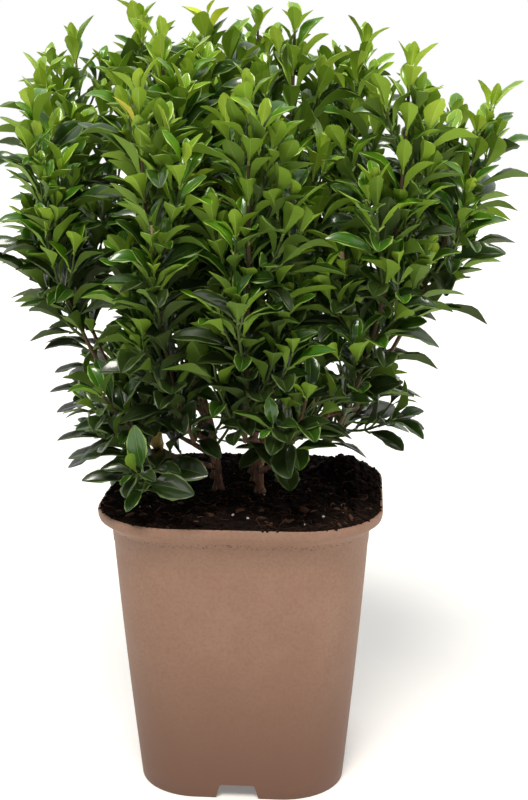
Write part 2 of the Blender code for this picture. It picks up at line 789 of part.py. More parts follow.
def is_sound(data):
    """True if a mesh is one closed body with no shared or tiny edges."""
    mesh = bmesh.new()
    mesh.from_mesh(data)
    mesh.verts.ensure_lookup_table()
    closed = all(len(edge.link_faces) == 2 and edge.calc_length() > SMALLEST_EDGE for edge in mesh.edges)
    reached = {mesh.verts[0]} if mesh.verts else set()
    waiting = list(reached)
    while waiting:
        for edge in waiting.pop().link_edges:
            for vert in edge.verts:
                if vert not in reached:
                    reached.add(vert)
                    waiting.append(vert)
    sound = closed and 0 < len(reached) == len(mesh.verts)
    mesh.free()
    return sound


def fuse(grower, leaf, finish):
    """Joins the leader, twigs and leaves of a grown mass into one mesh by a union. MANIFOLD does it,
    because EXACT leaves slivers and holes where so many thin blades meet their twigs."""
    name = grower.mass.name
    pieces = bpy.data.collections.new(name + "_pieces")
    bpy.context.scene.collection.children.link(pieces)
    for number, (twig, _) in enumerate(grower.twigs):
        link(f"{name}_twig_{number}", twig.mesh("twig", TWIG_SIDES), pieces, finish)
    for number, place in enumerate(grower.leaves):
        link(f"{name}_leaf_{number}", leaf, pieces, finish).matrix_world = place
    tube = grower.mass.leader.mesh(name, TWIG_SIDES)
    leader = link(name + "_leader", tube, bpy.context.scene.collection, finish)
    union = leader.modifiers.new("fuse", "BOOLEAN")
    union.operation = "UNION"
    union.operand_type = "COLLECTION"
    union.collection = pieces
    union.solver = "MANIFOLD"
    graph = bpy.context.evaluated_depsgraph_get()
    fused = bpy.data.meshes.new_from_object(leader.evaluated_get(graph))
    fused.name = name
    for piece in [leader, *pieces.objects]:
        bpy.data.objects.remove(piece)
    bpy.data.collections.remove(pieces)
    return fused


def build_mass(mass, index, home, space, crowd, leaf, parts, finish):
    """One mass as a single solid. A draw whose union is unsound is thrown again."""
    standing = len(crowd.trees)
    for draw in range(DRAWS):
        grower = Grower(mass, index, home, space, crowd, SEED * 1000 + index * DRAWS + draw)
        grower.grow()
        fused = fuse(grower, leaf, finish)
        if is_sound(fused):
            link(mass.name, fused, parts, finish)
            return len(grower.leaves)
        bpy.data.meshes.remove(fused)
        crowd.cut_back(standing)
    raise RuntimeError(f"{mass.name} has no sound draw")


def main():
    """Builds the whole potted plant in an emptied scene."""
    for old in list(bpy.data.objects):
        bpy.data.objects.remove(old)
    parts = bpy.data.collections.new("potted_euonymus")
    guides = bpy.data.collections.new("cutters")
    bpy.context.scene.collection.children.link(parts)
    bpy.context.scene.collection.children.link(guides)
    build_pot(parts, guides)
    build_soil(parts)
    frame = Frame()
    bark = material("bark", BARK, 0.8)
    for name, limb in frame.limbs.items():
        link(name, limb.curve(name), parts, bark)
    space = Space(list(frame.limbs.values()), frame.masses)
    leaf = leaf_mesh()
    finish = material("leaf_green", GREEN, 0.35)
    leaf.materials.append(finish)
    crowd = Crowd()
    homes = []
    for run in [*frame.limbs.values(), *(mass.leader for mass in frame.masses)]:
        shell, faces = run.shell(CROWD_SIDES)
        homes.append(crowd.add(BVHTree.FromPolygons(shell, faces), shell))
    total = 0
    for index, mass in enumerate(frame.masses):
        home = homes[len(frame.limbs) + index]
        total += build_mass(mass, index, home, space, crowd, leaf, parts, finish)
    print(f"{len(frame.limbs)} limbs, {len(frame.masses)} masses, {total} leaves")


main()
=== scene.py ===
"""Looks of the potted euonymus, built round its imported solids.

The limbs and the leaders of the foliage grow by the same rule and from the same seed as the solids,
so that every shoot stands where its solid does. The masses are then carried to finer twigs and to
leaves of natural size. Units are metres, +Z is up and the front faces -Y.
"""

import logging
import math
import random
from collections.abc import Iterable, Sequence
from dataclasses import dataclass, field
from enum import Enum
from itertools import combinations

import bpy
import numpy as np
from mathutils import Matrix, Vector, noise
from mathutils.bvhtree import BVHTree

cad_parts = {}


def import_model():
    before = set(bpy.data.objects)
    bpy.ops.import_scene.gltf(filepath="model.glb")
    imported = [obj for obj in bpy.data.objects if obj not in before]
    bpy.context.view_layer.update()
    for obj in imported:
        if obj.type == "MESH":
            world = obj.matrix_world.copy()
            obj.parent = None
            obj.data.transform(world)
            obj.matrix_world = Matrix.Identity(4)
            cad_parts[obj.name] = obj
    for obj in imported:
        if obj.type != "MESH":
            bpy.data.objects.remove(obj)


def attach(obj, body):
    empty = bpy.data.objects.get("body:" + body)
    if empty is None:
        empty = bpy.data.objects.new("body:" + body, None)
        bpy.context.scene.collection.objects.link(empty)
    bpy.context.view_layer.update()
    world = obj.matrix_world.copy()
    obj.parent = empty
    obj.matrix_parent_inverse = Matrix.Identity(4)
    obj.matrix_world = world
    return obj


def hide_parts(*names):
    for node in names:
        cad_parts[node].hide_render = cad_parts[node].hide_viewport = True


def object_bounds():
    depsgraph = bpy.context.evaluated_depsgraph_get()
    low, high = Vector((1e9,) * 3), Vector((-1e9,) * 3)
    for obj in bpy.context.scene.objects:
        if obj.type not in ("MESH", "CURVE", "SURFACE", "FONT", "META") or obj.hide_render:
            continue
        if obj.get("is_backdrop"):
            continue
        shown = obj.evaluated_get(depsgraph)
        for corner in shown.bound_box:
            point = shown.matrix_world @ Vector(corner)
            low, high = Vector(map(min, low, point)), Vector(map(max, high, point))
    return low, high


LOG = logging.getLogger("potted_euonymus")
BODY = "root"
SEED = 17
GOLDEN_DEG = 137.5
CROWN_FOOT = 0.175
CROWN_DEEP = 0.265
MM = 0.001
UP = Vector((0, 0, 1))
DOWN = Vector((0, 0, -1))
WHITE = (1.0, 1.0, 1.0, 1.0)
SHINE_SHADER = "Principled BSDF"

Pair = tuple[float, float]
Triple = tuple[float, float, float]
Corners = tuple[int, ...]
Tree = bpy.types.NodeTree
Node = bpy.types.Node
Socket = bpy.types.NodeSocket
Material = bpy.types.Material
Piece = bpy.types.Object


class Slot(Enum):
    """Material slots of the record."""

    POT = "pot_plastic"
    COMPOST = "compost"
    BARK = "bark"
    FOLIAGE = "foliage"


class NodeKind(Enum):
    """The kinds of shader node that the finishes and the studio are made of."""

    PLACE = "ShaderNodeTexCoord"
    SPLIT = "ShaderNodeSeparateXYZ"
    STRETCH = "ShaderNodeMapping"
    NOISE = "ShaderNodeTexNoise"
    RANGE = "ShaderNodeMapRange"
    MATHS = "ShaderNodeMath"
    MIX = "ShaderNodeMix"
    BUMP = "ShaderNodeBump"
    RAY = "ShaderNodeLightPath"


# Finishes


def linear(code: str) -> tuple[float, float, float, float]:
    """Turns an sRGB hex colour to linear.

    Args:
        code: The colour as "#RRGGBB".

    Returns:
        Red, green, blue and an alpha of 1.
    """
    shares = [int(code[place : place + 2], 16) / 255 for place in (1, 3, 5)]
    red, green, blue = (s / 12.92 if s <= 0.04045 else ((s + 0.055) / 1.055) ** 2.4 for s in shares)
    return red, green, blue, 1.0


def add_node(tree: Tree, kind: NodeKind, settings: dict, links: dict[str | int, Node | Socket]) -> Node:
    """Adds a shader node.

    Args:
        tree: The tree that it goes in.
        kind: Its kind.
        settings: Values by name, of the node itself or of its inputs.
        links: What feeds each input, by the input's name or number: an output, or a node whose first
            output it is.

    Returns:
        The new node.
    """
    node = tree.nodes.new(kind.value)
    for name, value in settings.items():
        if isinstance(name, str) and hasattr(node, name):
            setattr(node, name, value)
        else:
            node.inputs[name].default_value = value
    for name, source in links.items():
        output = source.outputs[0] if isinstance(source, Node) else source
        tree.links.new(output, node.inputs[name])
    return node


def patches_of(size_mm: float, detail: float) -> dict[str, float]:
    """Settings of a noise, from the real size of its patches and the finer octaves that lie on them."""
    return {"Scale": 1 / (size_mm * MM), "Detail": detail, "Roughness": 0.6}


def span(low: float, high: float) -> dict[str, str | float]:
    """Settings of a range that goes smoothly from 0 at low to 1 at high."""
    return {"interpolation_type": "SMOOTHSTEP", "From Min": low, "From Max": high}


def towards(second: str, first: str = "#000000") -> dict[str | int, object]:
    """Settings of a mix from a first colour, which a link may take the place of, to a second."""
    return {"data_type": "RGBA", 6: linear(first), 7: linear(second)}


def raised(strength: float, depth_mm: float) -> dict[str, float]:
    """Settings of a bump of a real depth."""
    return {"Strength": strength, "Distance": depth_mm * MM}


@dataclass(frozen=True)
class Finish:
    """A plain coloured surface, for small things whose colour is dealt out by spray."""

    name: str
    colour: str
    roughness: float
    ior: float = 1.45
    coat: float = 0.0
    coat_roughness: float = 0.2

    def build(self) -> Material:
        """Makes the material, or finds it where it was made before.

        Returns:
            The material.
        """
        found = bpy.data.materials.get(self.name)
        if found:
            return found
        made = bpy.data.materials.new(self.name)
        made.use_nodes = True
        made.diffuse_color = linear(self.colour)
        shader = made.node_tree.nodes[SHINE_SHADER]
        shader.inputs["Base Color"].default_value = linear(self.colour)
        shader.inputs["Roughness"].default_value = self.roughness
        shader.inputs["IOR"].default_value = self.ior
        shader.inputs["Coat Weight"].default_value = self.coat
        shader.inputs["Coat Roughness"].default_value = self.coat_roughness
        for name, output in self.weather(made.node_tree).items():
            made.node_tree.links.new(output, shader.inputs[name])
        return made

    def weather(self, tree: Tree) -> dict[str, Socket]:
        """The pattern and relief of the real surface, by the shader's input. A plain finish has none."""
        return {}


@dataclass(frozen=True)
class RecycledPolypropylene(Finish):
    """Recycled polypropylene, injection moulded in a blasted mould: dead matt, finely mottled, with
    dust on its sides, peat rubbed on its rim, and painted shade that darkens it towards its foot."""

    dusty: str = "#977662"
    # This tone colours the fine flecks, and also the painted shade that darkens the pot towards its foot.
    ruddy_fleck_and_painted_shade: str = "#6A4938"
    peat: str = "#33221A"
    patch_mm: float = 24.0
    mottle_mm: float = 1.8
    mottle_share: float = 0.35
    # Height below which painted shade darkens the pot towards its foot.
    painted_shade_below: float = 0.13
    smudge_mm: float = 1.7
    smudge_stretch: float = 0.4
    seam: Pair = (0.1536, 0.1560)
    brim: float = 0.1648
    grain_mm: float = 0.9
    grain_deep_mm: float = 0.12

    def weather(self, tree: Tree) -> dict[str, Socket]:
        """Lays mottling, dust, painted shade towards the foot, peat smudges and the mould's fine grain.

        Args:
            tree: The material's tree.

        Returns:
            The colour and the relief.
        """
        place = add_node(tree, NodeKind.PLACE, {}, {}).outputs["Object"]
        height = add_node(tree, NodeKind.SPLIT, {}, {0: place}).outputs["Z"]
        patches = add_node(tree, NodeKind.NOISE, patches_of(self.patch_mm, 4), {"Vector": place})
        dust = add_node(tree, NodeKind.RANGE, span(0.35, 0.95), {"Value": patches})
        dusted = add_node(tree, NodeKind.MIX, towards(self.dusty, self.colour), {0: dust})
        # Painted shade: the colour darkens towards the pot's foot, where less light falls.
        low_down = add_node(tree, NodeKind.RANGE, span(self.painted_shade_below, 0.0), {"Value": height})
        sides = add_node(tree, NodeKind.MIX, towards(self.ruddy_fleck_and_painted_shade), {0: low_down, 6: dusted.outputs[2]})
        mottle = add_node(tree, NodeKind.NOISE, patches_of(self.mottle_mm, 3), {"Vector": place})
        flecks = add_node(tree, NodeKind.RANGE, span(0.3, 0.8), {"Value": mottle})
        light = add_node(tree, NodeKind.MATHS, {"operation": "MULTIPLY", 1: self.mottle_share}, {0: flecks})
        flecked = add_node(tree, NodeKind.MIX, towards(self.ruddy_fleck_and_painted_shade), {0: light, 6: sides.outputs[2]})
        low, high = self.seam
        over = add_node(tree, NodeKind.RANGE, span(low - MM, low), {"Value": height})
        below = add_node(tree, NodeKind.RANGE, span(high + MM, high), {"Value": height})
        seam = add_node(tree, NodeKind.MATHS, {"operation": "MULTIPLY"}, {0: over, 1: below})
        brim = add_node(tree, NodeKind.RANGE, span(self.brim, self.brim + 1.5 * MM), {"Value": height})
        bands = add_node(tree, NodeKind.MATHS, {"operation": "MAXIMUM"}, {0: seam, 1: brim})
        drawn_out = {"Scale": (1, 1, 1 / self.smudge_stretch)}
        lie = add_node(tree, NodeKind.STRETCH, drawn_out, {"Vector": place})
        specks = add_node(tree, NodeKind.NOISE, patches_of(self.smudge_mm, 5), {"Vector": lie})
        spots = add_node(tree, NodeKind.RANGE, span(0.52, 0.68), {"Value": specks})
        smudge = add_node(tree, NodeKind.MATHS, {"operation": "MULTIPLY"}, {0: bands, 1: spots})
        rubbed = add_node(tree, NodeKind.MIX, towards(self.peat), {0: smudge, 6: flecked.outputs[2]})
        grain = add_node(tree, NodeKind.NOISE, patches_of(self.grain_mm, 2), {"Vector": place})
        bump = add_node(tree, NodeKind.BUMP, raised(0.25, self.grain_deep_mm), {"Height": grain})
        return {"Base Color": rubbed.outputs[2], "Normal": bump.outputs[0]}


@dataclass(frozen=True)
class PeatCompost(Finish):
    """Moist peat compost: near black, crumbly, with no shine."""

    dry: str = "#24140E"
    crumb_mm: float = 2.6
    crumb_deep_mm: float = 0.8

    def weather(self, tree: Tree) -> dict[str, Socket]:
        """Lays drier patches and the relief of its crumbs.

        Args:
            tree: The material's tree.

        Returns:
            The colour and the relief.
        """
        place = add_node(tree, NodeKind.PLACE, {}, {}).outputs["Object"]
        patches = add_node(tree, NodeKind.NOISE, patches_of(self.crumb_mm * 3, 5), {"Vector": place})
        drier = add_node(tree, NodeKind.RANGE, span(0.45, 0.75), {"Value": patches})
        peat = add_node(tree, NodeKind.MIX, towards(self.dry, self.colour), {0: drier})
        crumbs = add_node(tree, NodeKind.NOISE, patches_of(self.crumb_mm, 6), {"Vector": place})
        bump = add_node(tree, NodeKind.BUMP, raised(0.8, self.crumb_deep_mm), {"Height": crumbs})
        return {"Base Color": peat.outputs[2], "Normal": bump.outputs[0]}


@dataclass(frozen=True)
class WoodyBark(Finish):
    """Bark of a young shrub: brown, drawn out along the stem, with pale corky streaks."""

    pale: str = "#BC987C"
    deep: str = "#22150E"
    streak_mm: float = 1.0
    cork_mm: float = 1.6
    streak_long: float = 8.0
    furrow_deep_mm: float = 0.35

    def weather(self, tree: Tree) -> dict[str, Socket]:
        """Lays pale streaks, dark furrows and their relief.

        Args:
            tree: The material's tree.

        Returns:
            The colour and the relief.
        """
        place = add_node(tree, NodeKind.PLACE, {}, {}).outputs["Object"]
        drawn_out = {"Scale": (1, 1, 1 / self.streak_long)}
        lie = add_node(tree, NodeKind.STRETCH, drawn_out, {"Vector": place})
        streaks = add_node(tree, NodeKind.NOISE, patches_of(self.streak_mm, 4), {"Vector": lie})
        furrows = add_node(tree, NodeKind.RANGE, span(0.52, 0.34), {"Value": streaks})
        brown = add_node(tree, NodeKind.MIX, towards(self.deep, self.colour), {0: furrows})
        corky = add_node(tree, NodeKind.NOISE, patches_of(self.cork_mm, 3), {"Vector": lie})
        cork = add_node(tree, NodeKind.RANGE, span(0.56, 0.70), {"Value": corky})
        bark = add_node(tree, NodeKind.MIX, towards(self.pale), {0: cork, 6: brown.outputs[2]})
        bump = add_node(tree, NodeKind.BUMP, raised(0.7, self.furrow_deep_mm), {"Height": streaks})
        return {"Base Color": bark.outputs[2], "Normal": bump.outputs[0]}


POT_PLASTIC = RecycledPolypropylene("recycled_polypropylene_moulded", "#8E6C58", 0.62, 1.49)
COMPOST = PeatCompost("peat_compost_moist", "#0F0806", 0.95, 1.22)
CRUMB = PeatCompost("peat_crumbs", "#170D09", 0.95, 1.22, dry="#351F15", crumb_mm=1.0)
BARK = WoodyBark("young_bark_fissured", "#74503D", 0.78, 1.45)
FIBRE = Finish("root_fibres_dry", "#4A2B1B", 0.85)
CHIP = Finish("wood_chips_dry", "#4A2C1C", 0.85)
PERLITE = Finish("perlite_expanded", "#D8D2C6", 0.9)
TWIG_GREEN = Finish("green_shoot_skin", "#4C5E26", 0.5)
TWIG_BROWN = Finish("twig_skin_browning", "#5B4630", 0.7)
CUT_WOOD = Finish("clipped_wood_dry", "#C2A488", 0.8)


@dataclass(frozen=True)
class LeafTint:
    """The colours of one kind of leaf: its waxed upper side, its pale margin and petiole, and its
    dull underside, paler as real undersides are, and in the lighter tints lightened further as
    painted light that shines through the leaf."""

    name: str
    upper: str
    margin: str
    under: str

    def materials(self) -> list[Material]:
        """Waxed leaf surfaces: the upper side has a soft gloss, the underside hardly any.

        Returns:
            The upper side, the margin and the underside.
        """
        return [
            Finish(f"leaf_{self.name}_waxed", self.upper, 0.36, 1.45, 0.85, 0.12).build(),
            Finish(f"leaf_{self.name}_margin", self.margin, 0.45).build(),
            Finish(f"leaf_{self.name}_underside", self.under, 0.6, 1.4).build(),
        ]


# The undersides are paler, as real ones are; from lime to deep they are lightened further as painted light
# that shines through the leaf.
LIME = LeafTint("lime", "#CBE018", "#DDEB55", "#DCEA3A")
FRESH = LeafTint("fresh", "#82AC1C", "#C2D96E", "#AECA3C")
LEAFY = LeafTint("leafy", "#54880A", "#A4C05A", "#8EB030")
GREEN = LeafTint("green", "#366508", "#86A04E", "#749428")
DEEP = LeafTint("deep", "#234306", "#6A843E", "#5C7824")
# The darker tints, down to shade, are partly painted shade: tint_of deals them to leaves lower in the
# crown, where less light falls.
SHADE = LeafTint("shade", "#1E2E0C", "#526438", "#425424")
YELLOWED = LeafTint("yellowed", "#D2C80E", "#DCD548", "#CFC64A")
WITHERED = LeafTint("withered", "#A88F52", "#B7A26C", "#9C8650")
TINTS = {tint.name: tint for tint in (LIME, FRESH, LEAFY, GREEN, DEEP, SHADE, YELLOWED, WITHERED)}


# Modelling helpers


def deselect() -> None:
    """Leaves edit mode and selects nothing."""
    if bpy.context.object and bpy.context.object.mode != "OBJECT":
        bpy.ops.object.mode_set(mode="OBJECT")
    bpy.ops.object.select_all(action="DESELECT")


def take(piece: Piece) -> None:
    """Makes a piece the only selected and active one.

    Args:
        piece: The piece.
    """
    deselect()
    piece.select_set(True)
    bpy.context.view_layer.objects.active = piece


def apply_place(piece: Piece) -> None:
    """Moves a piece's place, turn and size into its mesh."""
    take(piece)
    bpy.ops.object.transform_apply(location=True, rotation=True, scale=True)


def apply_modifier(piece: Piece, kind: str, settings: dict) -> None:
    """Adds a modifier and applies it.

    Args:
        piece: The piece that it works on.
        kind: Its type, such as "BEVEL".
        settings: Its settings by name.
    """
    take(piece)
    added = piece.modifiers.new(kind.lower(), kind)
    for name, value in settings.items():
        setattr(added, name, value)
    bpy.ops.object.modifier_apply(modifier=added.name)


def turn_outward() -> None:
    """Points all faces of the piece in edit mode outwards, and leaves edit mode."""
    bpy.ops.mesh.select_all(action="SELECT")
    bpy.ops.mesh.normals_make_consistent(inside=False)
    deselect()


def remove(piece: Piece) -> None:
    """Deletes a helper piece."""
    bpy.data.objects.remove(piece)


def finished(
    piece: Piece, name: str, materials: Sequence[Material], stands_for: Iterable[str]
) -> Piece:
    """Names and dresses a finished piece, and ties it to the frame.

    Args:
        piece: The finished piece.
        name: Its plain name.
        materials: Its materials, in the order of its material numbers.
        stands_for: The CAD nodes that it replaces.

    Returns:
        The piece.
    """
    piece.name = name
    piece.data.name = name
    numbers = np.zeros(len(piece.data.polygons), np.int32)
    piece.data.polygons.foreach_get("material_index", numbers)
    piece.data.materials.clear()
    for material in materials:
        piece.data.materials.append(material)
    piece.data.polygons.foreach_set("material_index", numbers)
    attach(piece, BODY)
    nodes = list(stands_for)
    if nodes:
        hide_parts(*nodes)
    LOG.info("%s: %d faces", name, len(piece.data.polygons))
    return piece


@dataclass
class Shape:
    """A small mesh as arrays, to be copied many times.

    Attributes:
        vertices: Corner places, one row each.
        faces: Corner numbers of each face.
        numbers: Material number of each face.
    """

    vertices: np.ndarray
    faces: list[Corners]
    numbers: list[int]

    def __post_init__(self) -> None:
        """Flattens the faces once, for quick joining."""
        self.corners = np.array([corner for face in self.faces for corner in face], np.int32)
        self.totals = np.array([len(face) for face in self.faces], np.int32)

    def placed(self, place: Matrix) -> "Shape":
        """A copy of the shape, moved by a matrix.

        Args:
            place: The matrix.

        Returns:
            The copy.
        """
        turn = np.array(place.to_3x3())
        moved = self.vertices @ turn.T + np.array(place.translation)
        return Shape(moved, self.faces, self.numbers)


def tube_faces(rings: int, sides: int, first: int = 0) -> list[Corners]:
    """Faces of a closed tube whose corners are numbered ring by ring.

    Args:
        rings: How many rings of corners it has.
        sides: How many corners a ring has.
        first: Number of its first corner.

    Returns:
        The side faces from the first ring on, then the first end and the last end.
    """
    faces = []
    for low in range(first, first + (rings - 1) * sides, sides):
        for number in range(sides):
            after = (number + 1) % sides
            faces.append((low + number, low + after, low + sides + after, low + sides + number))
    last = first + (rings - 1) * sides
    return [*faces, tuple(reversed(range(first, first + sides))), tuple(range(last, last + sides))]


def joined(
    name: str,
    shapes: Sequence[Shape],
    crease_deg: float,
    materials: Sequence[Material],
    stands_for: Iterable[str],
) -> Piece:
    """Joins many small shapes into one finished piece.

    Args:
        name: Its plain name.
        shapes: The placed shapes.
        crease_deg: Edges bent more than this are shaded sharp.
        materials: Its materials, in the order of its material numbers.
        stands_for: The CAD nodes that it replaces.

    Returns:
        The piece.
    """
    offsets = np.cumsum([0] + [len(shape.vertices) for shape in shapes[:-1]])
    places = np.concatenate([shape.vertices for shape in shapes])
    corners = np.concatenate([shape.corners + start for shape, start in zip(shapes, offsets)])
    totals = np.concatenate([shape.totals for shape in shapes])
    numbers = np.concatenate([np.array(shape.numbers, np.int32) for shape in shapes])
    mesh = bpy.data.meshes.new(name)
    mesh.vertices.add(len(places))
    mesh.vertices.foreach_set("co", places.astype(np.float32).ravel())
    mesh.loops.add(len(corners))
    mesh.loops.foreach_set("vertex_index", corners.astype(np.int32))
    mesh.polygons.add(len(totals))
    starts = np.concatenate([[0], np.cumsum(totals)[:-1]])
    mesh.polygons.foreach_set("loop_start", starts.astype(np.int32))
    mesh.polygons.foreach_set("material_index", numbers)
    mesh.update(calc_edges=True)
    mesh.validate()
    mesh.shade_smooth()
    mesh.set_sharp_from_angle(angle=math.radians(crease_deg))
    made = bpy.data.objects.new(name, mesh)
    bpy.context.scene.collection.objects.link(made)
    return finished(made, name, materials, stands_for)


# The growing rule, which is the solids' own


def bezier(start: Vector, bend: Vector, end: Vector, count: int) -> list[Vector]:
    """Points along a quadratic curve that leaves start towards bend and reaches end."""
    shares = [index / (count - 1) for index in range(count)]
    return [start * (1 - t) ** 2 + bend * (2 * t * (1 - t)) + end * t**2 for t in shares]


@dataclass
class Run:
    """A tapering run of points: a stem, bough, leader or twig.

    Attributes:
        points: The line that it follows.
        radii: Its radius at each point.
        axis: Its rough direction, from its first to its last point if none is given.
    """

    points: list[Vector]
    radii: list[float]
    axis: Vector | None = None

    def __post_init__(self) -> None:
        """Works out its directions and the distance to each point."""
        self.axis = (self.axis or self.points[-1] - self.points[0]).normalized()
        self.side = self.axis.orthogonal().normalized()
        self.other = self.axis.cross(self.side)
        steps = [(after - before).length for before, after in zip(self.points, self.points[1:])]
        self.distances = [0.0, *np.cumsum(steps).tolist()]

    @classmethod
    def tapering(cls, points: list[Vector], start: float, end: float, axis: Vector | None = None) -> "Run":
        """A run whose radius goes evenly from start to end."""
        last = len(points) - 1
        return cls(points, [start + (end - start) * index / last for index in range(last + 1)], axis)

    @property
    def length(self) -> float:
        """Length along the points."""
        return self.distances[-1]

    def at(self, distance: float) -> tuple[Vector, Vector, float]:
        """What the run is like at a distance.

        Args:
            distance: The distance from its start.

        Returns:
            The point, the direction and the radius there.
        """
        index = int(np.searchsorted(self.distances, distance, side="right")) - 1
        index = min(max(index, 0), len(self.points) - 2)
        step = self.distances[index + 1] - self.distances[index]
        part = min(max((distance - self.distances[index]) / step, 0.0), 1.0)
        before, after = self.points[index], self.points[index + 1]
        radius = self.radii[index] + part * (self.radii[index + 1] - self.radii[index])
        return before.lerp(after, part), (after - before).normalized(), radius

    def outward(self, way: Vector, degrees: float) -> Vector:
        """A direction out of the run's side.

        Args:
            way: The run's direction there.
            degrees: How far round the run it is turned.

        Returns:
            The direction, square to the run's.
        """
        angle = math.radians(degrees)
        out = self.side * math.cos(angle) + self.other * math.sin(angle)
        return (out - way * out.dot(way)).normalized()

    def around(self, way: Vector, count: int) -> list[tuple[float, Vector]]:
        """Directions all round the run, evenly turned.

        Args:
            way: The run's direction there.
            count: How many there are.

        Returns:
            The angle and the direction of each.
        """
        side = self.outward(way, 0)
        other = way.cross(side)
        angles = [2 * math.pi * number / count for number in range(count)]
        return [(angle, side * math.cos(angle) + other * math.sin(angle)) for angle in angles]

    def tube(self, sides: int) -> Shape:
        """A closed round tube along the run.

        Args:
            sides: How many sides it has.

        Returns:
            Its shape.
        """
        places = []
        last = len(self.points) - 1
        for index, (point, radius) in enumerate(zip(self.points, self.radii)):
            before, after = self.points[max(index - 1, 0)], self.points[min(index + 1, last)]
            way = (after - before).normalized()
            places += [list(point + out * radius) for _, out in self.around(way, sides)]
        faces = tube_faces(len(self.points), sides)
        return Shape(np.array(places), faces, [0] * len(faces))


@dataclass
class Mass:
    """A mass of foliage.

    Attributes:
        node: Its node in the solids.
        leader: Its main shoot.
        droop: How far its leaves hang down, in degrees.
        bare: How far up its leader no twig or leaf grows.
    """

    node: str
    leader: Run
    droop: float
    bare: float


@dataclass
class Clump:
    """The plant's limbs and leaders, from the same sizes, seed and order of draws as the solids.

    Lengths are metres and turns are degrees from +X to +Y. A tip or an end is a distance from the
    clump's middle and a height. A belly is how far a leader bows out before it rises.

    Attributes:
        side_at: Each side bough's name, its turn from the stem's and its share of the way up the stem.
        bare_feet: How far up the leaders of some masses no leaf grows.
        standouts: How much further out and up some masses reach, and how far they are turned.
    """

    middle: Pair = (-0.001, 0.014)
    ground: float = 0.1658
    clear: float = 0.0003
    stem_count: int = 5
    stem_ring: float = 0.021
    stem_start: float = -62.0
    stem_foot_radius: float = 0.0040
    stem_radius: float = 0.0025
    stem_tip_radius: float = 0.0016
    stem_tip: Pair = (0.036, 0.226)
    middle_foot: Pair = (0.006, 20.0)
    middle_stem_tip: Triple = (0.006, 110.0, 0.232)
    stem_bow: Pair = (0.2, 0.6)
    flare_height: float = 0.006
    flare_rings: tuple[float, ...] = (0.0, 0.25, 0.5, 0.75)
    bough_radius: float = 0.0018
    bough_tip_radius: float = 0.0013
    side_at: tuple[tuple[str, float, float], ...] = (("right", -21.0, 0.42), ("left", 21.0, 0.60))
    side_end: Pair = (0.056, 0.208)
    side_rise: float = 36.0
    sunk: float = 0.4
    low_at: float = 0.20
    low_end: Pair = (0.042, 0.187)
    low_turn: float = 6.0
    low_rise: float = 24.0
    top_tip: Pair = (0.060, 0.408)
    top_turn: float = 8.0
    top_belly: float = 0.7
    middle_tip: Pair = (0.020, 0.418)
    middle_tip_turn: float = 180.0
    side_tip: Pair = (0.110, 0.384)
    side_belly: float = 0.92
    open_stem: int = 2
    open_belly: float = 0.60
    low_tip: Pair = (0.090, 0.232)
    low_belly: float = 0.6
    low_droop: float = 4.0
    sway: float = 0.004
    lift: float = 0.004
    turn: float = 4.0
    straight: float = 0.010
    tail: float = 0.1
    bend_height: float = 0.38
    leader_radius: float = 0.0014
    leader_tip_radius: float = 0.0009
    bare: float = 0.008
    fine_points: int = 13
    bare_feet: dict[str, float] = field(
        default_factory=lambda: {
            "1_left": 0.030,
            "2_right": 0.062,
            "2_left": 0.042,
            "4_right": 0.034,
            "4_left": 0.054,
            "5_right": 0.058,
            "1_low": 0.012,
        }
    )
    standouts: dict[str, Triple] = field(
        default_factory=lambda: {
            "4_right": (0.024, 0.022, 12.0),
            "4_left": (0.006, 0.000, 6.0),
            "5_right": (0.004, -0.016, 0.0),
            "5_left": (0.000, -0.008, 0.0),
            "1_right": (0.000, -0.004, 0.0),
            "1_left": (0.006, 0.008, 0.0),
            "2_right": (0.026, -0.014, 0.0),
            "2_left": (0.014, -0.020, -6.0),
            "3_right": (0.000, 0.008, 0.0),
            "3_left": (0.000, 0.008, 0.0),
            "4_top": (0.000, 0.012, 0.0),
            "5_top": (0.000, -0.004, 0.0),
            "1_top": (0.000, 0.000, -8.0),
            "2_top": (0.014, -0.006, 0.0),
            "3_top": (0.000, 0.004, 0.0),
            "2_low": (-0.012, -0.006, 0.0),
            "4_low": (0.008, 0.000, 0.0),
            "5_low": (0.014, 0.000, 0.0),
        }
    )

    def __post_init__(self) -> None:
        """Grows all limbs and leaders."""
        self.draws = random.Random(SEED)
        self.limbs: dict[str, Run] = {}
        self.masses: list[Mass] = []
        foot = self.polar(*self.middle_foot, self.ground)
        middle = self.stem(foot, self.polar(*self.middle_stem_tip))
        self.limbs["stem_middle"] = middle
        self.add_mass("middle", middle, self.middle_tip_turn, self.middle_tip, self.top_belly, 0.0)
        for number in range(1, self.stem_count + 1):
            self.add_stem(number, self.stem_start + (number - 1) * 360 / self.stem_count)

    def polar(self, radius: float, degrees: float, height: float) -> Vector:
        """A point round the clump's middle.

        Args:
            radius: Its distance from the middle.
            degrees: Its turn.
            height: Its height.

        Returns:
            The point.
        """
        angle = math.radians(degrees)
        x, y = self.middle
        return Vector((x + radius * math.cos(angle), y + radius * math.sin(angle), height))

    def stem(self, foot: Vector, tip: Vector) -> Run:
        """A stem with a root flare, a level cut at its foot and a slight outward bow.

        Args:
            foot: The middle of its foot.
            tip: The middle of its tip.

        Returns:
            Its run.
        """
        out, up = self.stem_bow
        above = foot + UP * self.flare_height
        bend = above + Vector(((tip.x - foot.x) * out, (tip.y - foot.y) * out, (tip.z - foot.z) * up))
        rest = bezier(above, bend, tip, self.fine_points)
        flare = [foot.lerp(above, share) for share in self.flare_rings]
        run = Run.tapering(flare + rest, self.stem_radius, self.stem_tip_radius, UP)
        for index in range(len(flare)):
            share = 1 - index / len(flare)
            run.radii[index] += (self.stem_foot_radius - self.stem_radius) * share**2
        return run

